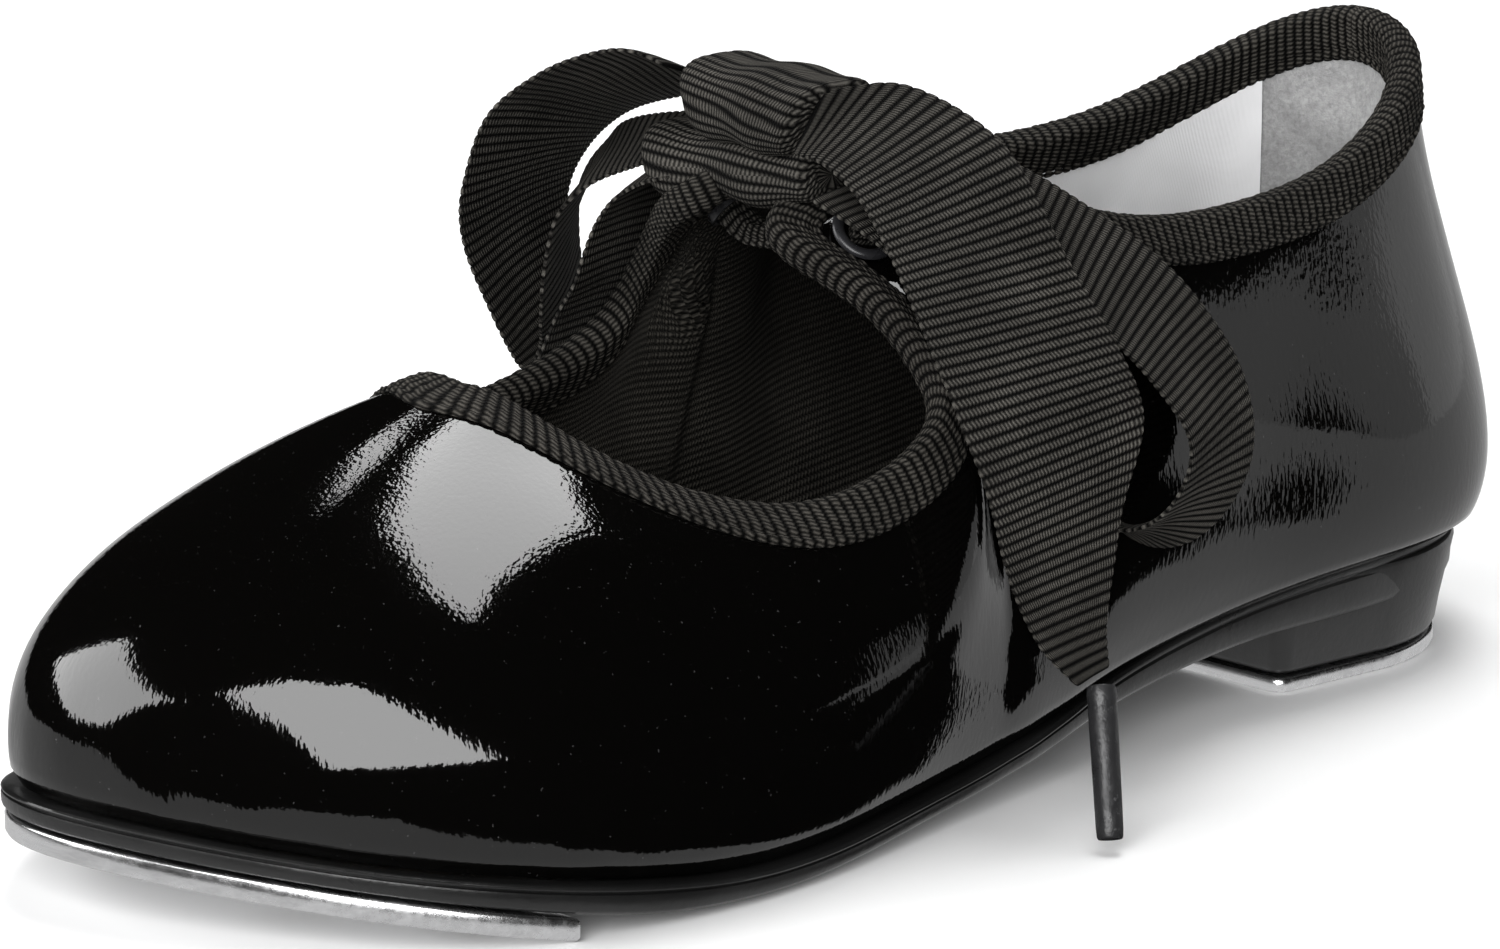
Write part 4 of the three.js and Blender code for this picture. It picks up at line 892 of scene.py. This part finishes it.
MEDIAL_TAIL = (
    [(70.5, -9.4, 56.4), (71, -12.4, 55.6), (71, -15.4, 54.2), (71.1, -17.4, 52.6), (71.3, -19.2, 50.2),
     (71.5, -20.8, 47.2), (71.3, -22.6, 44), (70.9, -25, 41), (70.6, -27.6, 37), (71.6, -31, 30),
     (75, -35.4, 23.4), (78, -38.8, 17.6)],
    [(61.6, -9.4, 59.4), (60.2, -14, 58.2), (59, -18.3, 56.2), (58, -18.3, 53.8), (57.2, -20, 51),
     (56.8, -21.5, 48), (56.6, -22.8, 45), (56.8, -24, 41.6), (57.8, -25.8, 38), (60.6, -28.6, 33),
     (66.6, -34.4, 25), (74.8, -38.8, 16.8)],
)


def bow():
    """Each strand of the bow: a ribbon between its front and rear edges, in place of its CAD node, with the
    two places in metres where it leaves the knot. The strand is fixed where it is made."""
    strands = (
        ("loop_lateral", LATERAL_LOOP, "rear_shoe", (0.066, 0.0094, 0.0615), (0.066, 0.018, 0.058)),
        ("tail_lateral", LATERAL_TAIL, "loop_lateral", (0.066, 0.0094, 0.0635), (0.066, 0.018, 0.060)),
        ("tail_medial", MEDIAL_TAIL, "rear_shoe", (0.069, -0.0094, 0.0595), (0.069, -0.018, 0.057)),
        ("loop_medial", MEDIAL_LOOP, "tail_medial", (0.066, -0.0094, 0.0635), (0.066, -0.018, 0.063)),
    )
    for body, edges, carrier, start, end in strands:
        made = ribbon(body + "_ribbon", *edges)
        fitted(made, "ribbon", [body], carrier, body, start, end)


# Corners of the knot and of the gathers below it, as (y, z): top left, top right, bottom right, bottom left.
KNOT_CORNERS = [(-7.8, 68.2), (10.2, 67.8), (6.2, 60.0), (-5.0, 60.6)]
GATHER_CORNERS = [(-15.0, 60.6), (8.0, 61.6), (7.6, 55.4), (-13.5, 53.6)]


def wrapped_band(name, corners, centre_x, depth, rib_count, pleat, nodes):
    """A band whose ribs lie along y, wrapped round a flat bundle between these corners."""
    count = rib_count * RIB_STEPS
    angle = 2 * np.pi * np.arange(count) / count
    cosine, sine = np.cos(angle), np.sin(angle)
    across, upward = np.sign(cosine) * np.abs(cosine) ** 0.6, np.sign(sine) * np.abs(sine) ** 0.8
    u = np.linspace(-1, 1, 40)
    share = ((u + 1) / 2)[:, None]
    top_left, top_right, bottom_right, bottom_left = np.array(corners)
    top = top_left + (top_right - top_left) * share
    bottom = bottom_left + (bottom_right - bottom_left) * share
    roll = np.sqrt(np.clip(1 - np.abs(u) ** 12, 0, 1))[:, None]
    middle, half = (top + bottom) / 2, (top - bottom) / 2 * (0.78 + 0.22 * roll)
    yz = middle[:, None] + half[:, None] * upward[None, :, None]
    x = centre_x + depth * (0.75 + 0.25 * roll) * across
    face = np.concatenate([np.broadcast_to(x, yz.shape[:2])[..., None], yz], -1)
    out = np.stack([cosine, 0 * cosine, sine], -1)[None]
    along = np.arange(count + 1) / count * rib_count
    slant = 1.2 * cosine[None, :] * u[:, None]
    rib = rib_shape(along[None, :-1] + slant, 1.0)
    pleats = pleat * np.sin(6.0 * u[:, None] + 0.9 * sine[None, :]) * roll
    face = face + out * (0.15 * (rib - 0.6) + pleats)[..., None]
    ends = []
    for row in (face[0], face[-1]):
        centre = row.mean(axis=0)
        ends.append((centre + (row - centre) * 0.5)[None])
    rows = np.concatenate([ends[0], face, ends[1]])
    wide = (np.concatenate([[-1.1], u, [1.1]]) + 1) * RIBBON_WIDTH / 2
    uv = cloth_uv(along, wide)[..., ::-1].copy()
    uv[1:-1, :-1, 1] += slant
    uv[1:-1, -1, 1] += slant[:, 0]
    rows, uv = capped(rows, uv)
    made = grid(name, rows, GROSGRAIN, wrap_cols=True, uv=uv, sharp=70)
    fitted(made, "ribbon", nodes, "rear_shoe")


def knot():
    """The band that binds the bow, and the crushed ribbon between it and the tabs."""
    wrapped_band("knot_band", KNOT_CORNERS, 66.6, 5.9, 26, 0.22, ["knot"])
    wrapped_band("knot_gathers", GATHER_CORNERS, 65.8, 4.6, 22, 0.45, [])


# ---------------------------------------------------------------- eyelets, aglets, screws and lace
def turned(name, profile, material, place, axis, segments=48, sharp=40, ripple_depth=0.0):
    """A profile of (radius, height) turned about an axis that starts at place."""
    axis = np.array(axis, float) / np.linalg.norm(axis)
    side = np.cross(axis, [0.3, 0.9, 0.2])
    side /= np.linalg.norm(side)
    other = np.cross(axis, side)
    angle = 2 * np.pi * np.arange(segments) / segments
    profile = np.array(profile, float)
    radius = profile[None, :, 0] * (1 + ripple_depth * np.sin(5 * angle + 1.3 * np.sin(2 * angle)))[:, None]
    ring = (np.array(place, float) + radius[..., None] * (np.cos(angle)[:, None, None] * side
            + np.sin(angle)[:, None, None] * other) + profile[None, :, 1, None] * axis)
    return grid(name, ring, material, wrap_rows=True, wrap_cols=True, sharp=sharp)


EYELET_STATION = 10.3
EYELET_INSET = 7.8
EYELET_PROFILE = [(2.1, -3.2), (2.1, 0.55), (2.18, 0.86), (2.4, 1.06), (2.7, 1.12), (3.0, 1.06), (3.22, 0.9),
                  (3.3, 0.66), (3.2, 0.5), (2.5, 0.5), (2.5, -3.2)]


def eyelet_seat(side):
    """The eyelet's middle on the face of the outer, and the wall's normal there."""
    s = np.array([side * EYELET_STATION / WALL_COUNT])
    v = v_below_top(s, EYELET_INSET)[:, None]
    return wall(s, v)[0, 0], wall_normal(s, v)[0, 0]


def eyelets():
    for name, side in (("lateral", 1), ("medial", -1)):
        made = turned("eyelet_rim_" + name, EYELET_PROFILE, ENAMEL, *eyelet_seat(side))
        fitted(made, "eyelet", ["eyelet_" + name], "rear_shoe")


# Each aglet's top and tip.
AGLETS = {
    "lateral": ((62.4, 40.2, 14.4), (66.0, 45.0, 1.0)),
    "medial": ((76.6, -39.0, 16.2), (79.5, -41.0, 1.0)),
}
AGLET_PROFILE = [(0.0, 0.35), (0.9, 0.3), (1.22, 0.0), (1.36, 0.25), (1.42, 0.9), (1.34, 1.7),
                 (1.38, 2.6), (1.36, 5.0), (1.32, 9.0), (1.27, 13.4), (1.22, 14.1), (1.12, 14.3),
                 (0.9, 14.3), (0.78, 14.0), (0.0, 13.9)]


def aglets():
    """Moulded tips: pressed round the gathered ribbon, uneven at the top and cut square below."""
    for name, (top, tip) in AGLETS.items():
        top, tip = np.array(top), np.array(tip)
        axis = (tip - top) / np.linalg.norm(tip - top)
        made = turned("aglet_tip_" + name, AGLET_PROFILE, AGLET, top, axis, 40, 50, 0.02)
        fitted(made, "aglet", ["aglet_" + name], "tail_" + name)


HEEL_SCREWS = [(-13, 0), (6, 11.5), (6, -11.5)]
TOE_SCREWS = [(124, 22), (124, -22), (133, 8), (133, -13)]


def screw_axis(tilt):
    return np.array([-math.sin(tilt), 0.0, math.cos(tilt)])


def screw_places():
    for i, (x, y) in enumerate(HEEL_SCREWS):
        yield "heel_tap_screw_%d" % (i + 1), np.array([x, y, 0.0]), 0.0, "rear_shoe"
    for i, (x, y) in enumerate(TOE_SCREWS):
        low = (x - TOE_TAP_X) * math.tan(TOE_SPRING)
        yield "toe_tap_screw_%d" % (i + 1), np.array([x, y, low]), TOE_SPRING, "forefoot"


SCREW_RADII = [0.02, 0.2, 0.3, 0.42, 0.55, 0.68, 0.8, 0.92, 1.02, 1.12, 1.3, 1.5, 1.7, 1.82, 1.9]


def screws():
    """Countersunk heads with a cross recess, a little below the face of the tap."""
    for name, place, tilt, body in screw_places():
        axis = screw_axis(tilt)
        side = np.array([axis[2], 0.0, -axis[0]])
        other = np.array([0.0, 1.0, 0.0])
        angle = 2 * np.pi * np.arange(64) / 64 + 0.4 * place[1]
        radii = np.array(SCREW_RADII)
        x, y = np.outer(np.cos(angle), radii), np.outer(np.sin(angle), radii)
        turned_angle = angle[:, None] - 0.4 * place[1]
        a, b = radii * np.abs(np.cos(turned_angle)), radii * np.abs(np.sin(turned_angle))
        arm = smoothstep(0.34, 0.24, np.minimum(a, b)) * smoothstep(1.2, 1.0, np.maximum(a, b))
        sink = 0.25 + 0.75 * arm * (1.1 - 0.4 * radii) - 0.06 * np.cos(radii / 1.9 * 1.4)
        back = [(1.9, 0.40), (0.8, 1.10), (0.8, 3.7), (0.05, 4.5)]
        rings = [np.stack([x, y, sink], -1)]
        for radius, z in back:
            ring = [radius * np.cos(angle), radius * np.sin(angle), np.full(64, z)]
            rings.append(np.stack(ring, -1)[:, None])
        local = np.concatenate(rings, axis=1)
        points = place + local[..., :1] * side + local[..., 1:2] * other + local[..., 2:] * axis
        made = grid(name + "_head", points, SCREW, wrap_rows=True, wrap_cols=True, sharp=35, flip=True)
        fitted(made, "screw", [name], body)


SINK_PROFILE = [(0.0, -1.0), (2.25, -1.0), (2.25, 0.3), (1.1, 1.35), (1.1, 4.0), (0.0, 4.0)]


def countersunk(plate, end):
    """The tap of this end with a countersunk hole for each of its screws, cut through its lower face."""
    for name, place, tilt, _ in screw_places():
        if not name.startswith(end):
            continue
        cutter = turned("cutter", SINK_PROFILE, TAP, place, screw_axis(tilt), 48)
        cut = plate.modifiers.new("hole", "BOOLEAN")
        cut.operation, cut.solver, cut.object = "DIFFERENCE", "EXACT", cutter
        bpy.context.view_layer.update()
        mesh = bpy.data.meshes.new_from_object(plate.evaluated_get(bpy.context.evaluated_depsgraph_get()))
        plate.modifiers.clear()
        plate.data = mesh
        bpy.data.objects.remove(cutter)


def lace():
    """The gathered ribbon that runs under the tabs and up through both eyelets."""
    ends = []
    for side in (1, -1):
        centre, normal = eyelet_seat(side)
        ends.append([centre + normal * reach for reach in (2.0, 0.0, -6.0)])
    middle = (ends[0][2] + ends[1][2]) / 2 + [0, 0, 1]
    path = softened(open_curve([*ends[0], middle, *ends[1][::-1]], np.linspace(0, 1, 260)), 20)
    tangent = np.gradient(path, axis=0)
    tangent /= np.linalg.norm(tangent, axis=1, keepdims=True)
    wide = np.cross(tangent, [0.2, 0.0, 1.0])
    wide /= np.linalg.norm(wide, axis=1, keepdims=True)
    deep = np.cross(tangent, wide)
    angle = 2 * np.pi * np.arange(60) / 60
    fold = 1 + 0.10 * np.sin(5 * angle) + 0.06 * np.sin(9 * angle + 1)
    length = arc_length(path)
    rib = 1 + 0.05 * (rib_shape(length, RIBBON_RIB) - 0.5)[:, None]
    half_wide, half_deep = 1.7, 1.25
    rows = (path[:, None] + (half_wide * fold * np.cos(angle) * rib)[..., None] * wide[:, None]
            + (half_deep * fold * np.sin(angle) * rib)[..., None] * deep[:, None])
    rows, uv = capped(rows, cloth_uv(np.linspace(0, 9, 61), length))
    made = grid("lace_through_eyelets", rows, GROSGRAIN, wrap_cols=True, uv=uv, sharp=70)
    fitted(made, "ribbon", ["lace_bridge"], "rear_shoe")


def finish_cad_nodes():
    for name, material in CAD_FINISH.items():
        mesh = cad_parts[name].data
        mesh.materials.clear()
        mesh.materials.append(material)


# ---------------------------------------------------------------- stage
CAMERA_AZIMUTH = math.radians(46.2)
CAMERA_ELEVATION = math.radians(13.6)
CAMERA_DISTANCE = 0.65
CAMERA_TARGET = Vector((0.063, 0.0, 0.030))
CAMERA_LENS = 162.24
CAMERA_SHIFT = (-0.0307, -0.0167)


def camera():
    back = Vector((math.cos(CAMERA_AZIMUTH) * math.cos(CAMERA_ELEVATION),
                   math.sin(CAMERA_AZIMUTH) * math.cos(CAMERA_ELEVATION), math.sin(CAMERA_ELEVATION)))
    data = bpy.data.cameras.new("camera")
    data.lens = CAMERA_LENS
    data.sensor_width = 36
    data.shift_x, data.shift_y = CAMERA_SHIFT
    data.clip_start = 0.01
    made = bpy.data.objects.new("camera", data)
    turn = back.to_track_quat("Z", "Y").to_matrix().to_4x4()
    made.matrix_world = Matrix.Translation(CAMERA_TARGET + back * CAMERA_DISTANCE) @ turn
    bpy.context.scene.collection.objects.link(made)
    bpy.context.scene.camera = made


def glowing(name, strength):
    material = bpy.data.materials.new(name)
    material.use_nodes = True
    tree = material.node_tree
    tree.nodes.remove(tree.nodes["Principled BSDF"])
    glow = node(tree, "Emission", Strength=strength)
    put(tree, tree.nodes["Material Output"].inputs["Surface"], glow.outputs[0])
    return material


def soft_panel(name, corners, strength):
    """A glowing panel with these corners, in millimetres, that lights the shoe and shows in its gloss."""
    made = new_object(name, np.array(corners, float), [tuple(range(len(corners)))], glowing(name, strength))
    made.visible_camera = False


def panel_overhead(name, plan, height, strength):
    """plan holds each corner's offset from above the toe, as a share of the height."""
    toe = np.array([118.0, 12.0, 33.0])
    soft_panel(name, [toe + height * np.array([x, y, 1.0]) for x, y in plan], strength)


def panel_around(name, directions, reach, strength, centre=(138.0, 10.0, 21.0)):
    """directions are (azimuth, elevation) in degrees, seen from the toe unless another centre is given."""
    corners = []
    for azimuth, elevation in np.radians(directions):
        corners.append(np.array(centre) + reach * np.array([math.cos(azimuth) * math.cos(elevation),
                                                            math.sin(azimuth) * math.cos(elevation),
                                                            math.sin(elevation)]))
    soft_panel(name, corners, strength)


FLOOR_DROP = 0.05  # the floor lies this far below the taps, in millimetres
# Outline of the glowing sheet that paints the floor's reflection in the gloss.
FLOOR_REFLECTION_OUTLINE = [(-200, 230), (-61, 94), (-21, 59), (2, 47), (14, 46), (30, 37), (65, 31), (80, 33), (92, 36),
                 (102, 39), (111, 40), (121, 44), (151, 39), (167, 16), (179, 2), (300, -70), (900, -500),
                 (900, -1500), (-1500, -1500), (-1500, 1500)]


def floor_plane(name, outline, material):
    made = new_object(name, np.array([(x, y, -FLOOR_DROP) for x, y in outline], float),
                      [tuple(range(len(outline)))], material)
    return made


def stage():
    floor_material, _, _ = new_material("floor", (0.9, 0.9, 0.9), 0.9)
    far = 3000
    floor = floor_plane("floor", [(-far, -far), (far, -far), (far, far), (-far, far)], floor_material)
    floor.visible_glossy = False
    # Painted reflection of the floor: a glowing white sheet in place of the floor, which lights nothing and
    # shows only in the gloss; it ends close to the shoe on the camera's side.
    sheet = floor_plane("sheet", FLOOR_REFLECTION_OUTLINE, glowing("sheet", 0.62))
    sheet.location.z = -0.0001
    sheet.visible_camera = sheet.visible_diffuse = sheet.visible_shadow = False
    world = bpy.data.worlds.new("studio")
    bpy.context.scene.world = world
    world.use_nodes = True
    tree = world.node_tree
    background = tree.nodes["Background"]
    path = node(tree, "LightPath")
    white = mixed(tree, path.outputs["Is Camera Ray"], (0.17, 0.17, 0.175), (1.0, 1.0, 1.0))
    glossy = mixed(tree, path.outputs["Is Glossy Ray"], white, (0.0045, 0.0043, 0.0040))
    put(tree, background.inputs["Color"], glossy)
    panel_overhead("overhead_panel", [(0.0, 0.30), (0.01, 0.05), (-0.14, -0.38), (-0.38, -0.76), (-1.0, -0.6),
                                      (-0.66, 0.0), (-0.45, 0.08), (-0.2, 0.15)][::-1], 900, 6.6)
    panel_overhead("strip_panel", [(-0.235, -0.75), (-0.42, -0.92), (-0.60, -1.25), (-0.50, -1.17)], 900, 4.0)
    panel_around("side_panel", [(-60, 43), (-10, 27), (-26, 7), (-75, 20)], 900, 5.6)
    panel_around("front_panel", [(-1, 38), (10, 49), (34, 51), (55, 36), (73, 9), (31, 3)], 1100, 7.2)
    heel = (5.0, 21.0, 38.0)
    panel_around("heel_panel", [(141, -8), (141, 11.5), (156, 11.5), (156, -8)], 900, 0.5, heel)
    panel_around("heel_side_panel", [(156, -8), (156, 11.5), (190, 11.5), (190, -8)], 900, 0.8, heel)
    bpy.context.scene.view_settings.view_transform = "Standard"


upper_outer()
topline_binding()
linings()
size_label()
outsole()
heel_tap()
toe_tap()
sock_lining()
bow()
knot()
eyelets()
aglets()
screws()
lace()
finish_cad_nodes()
camera()
stage()
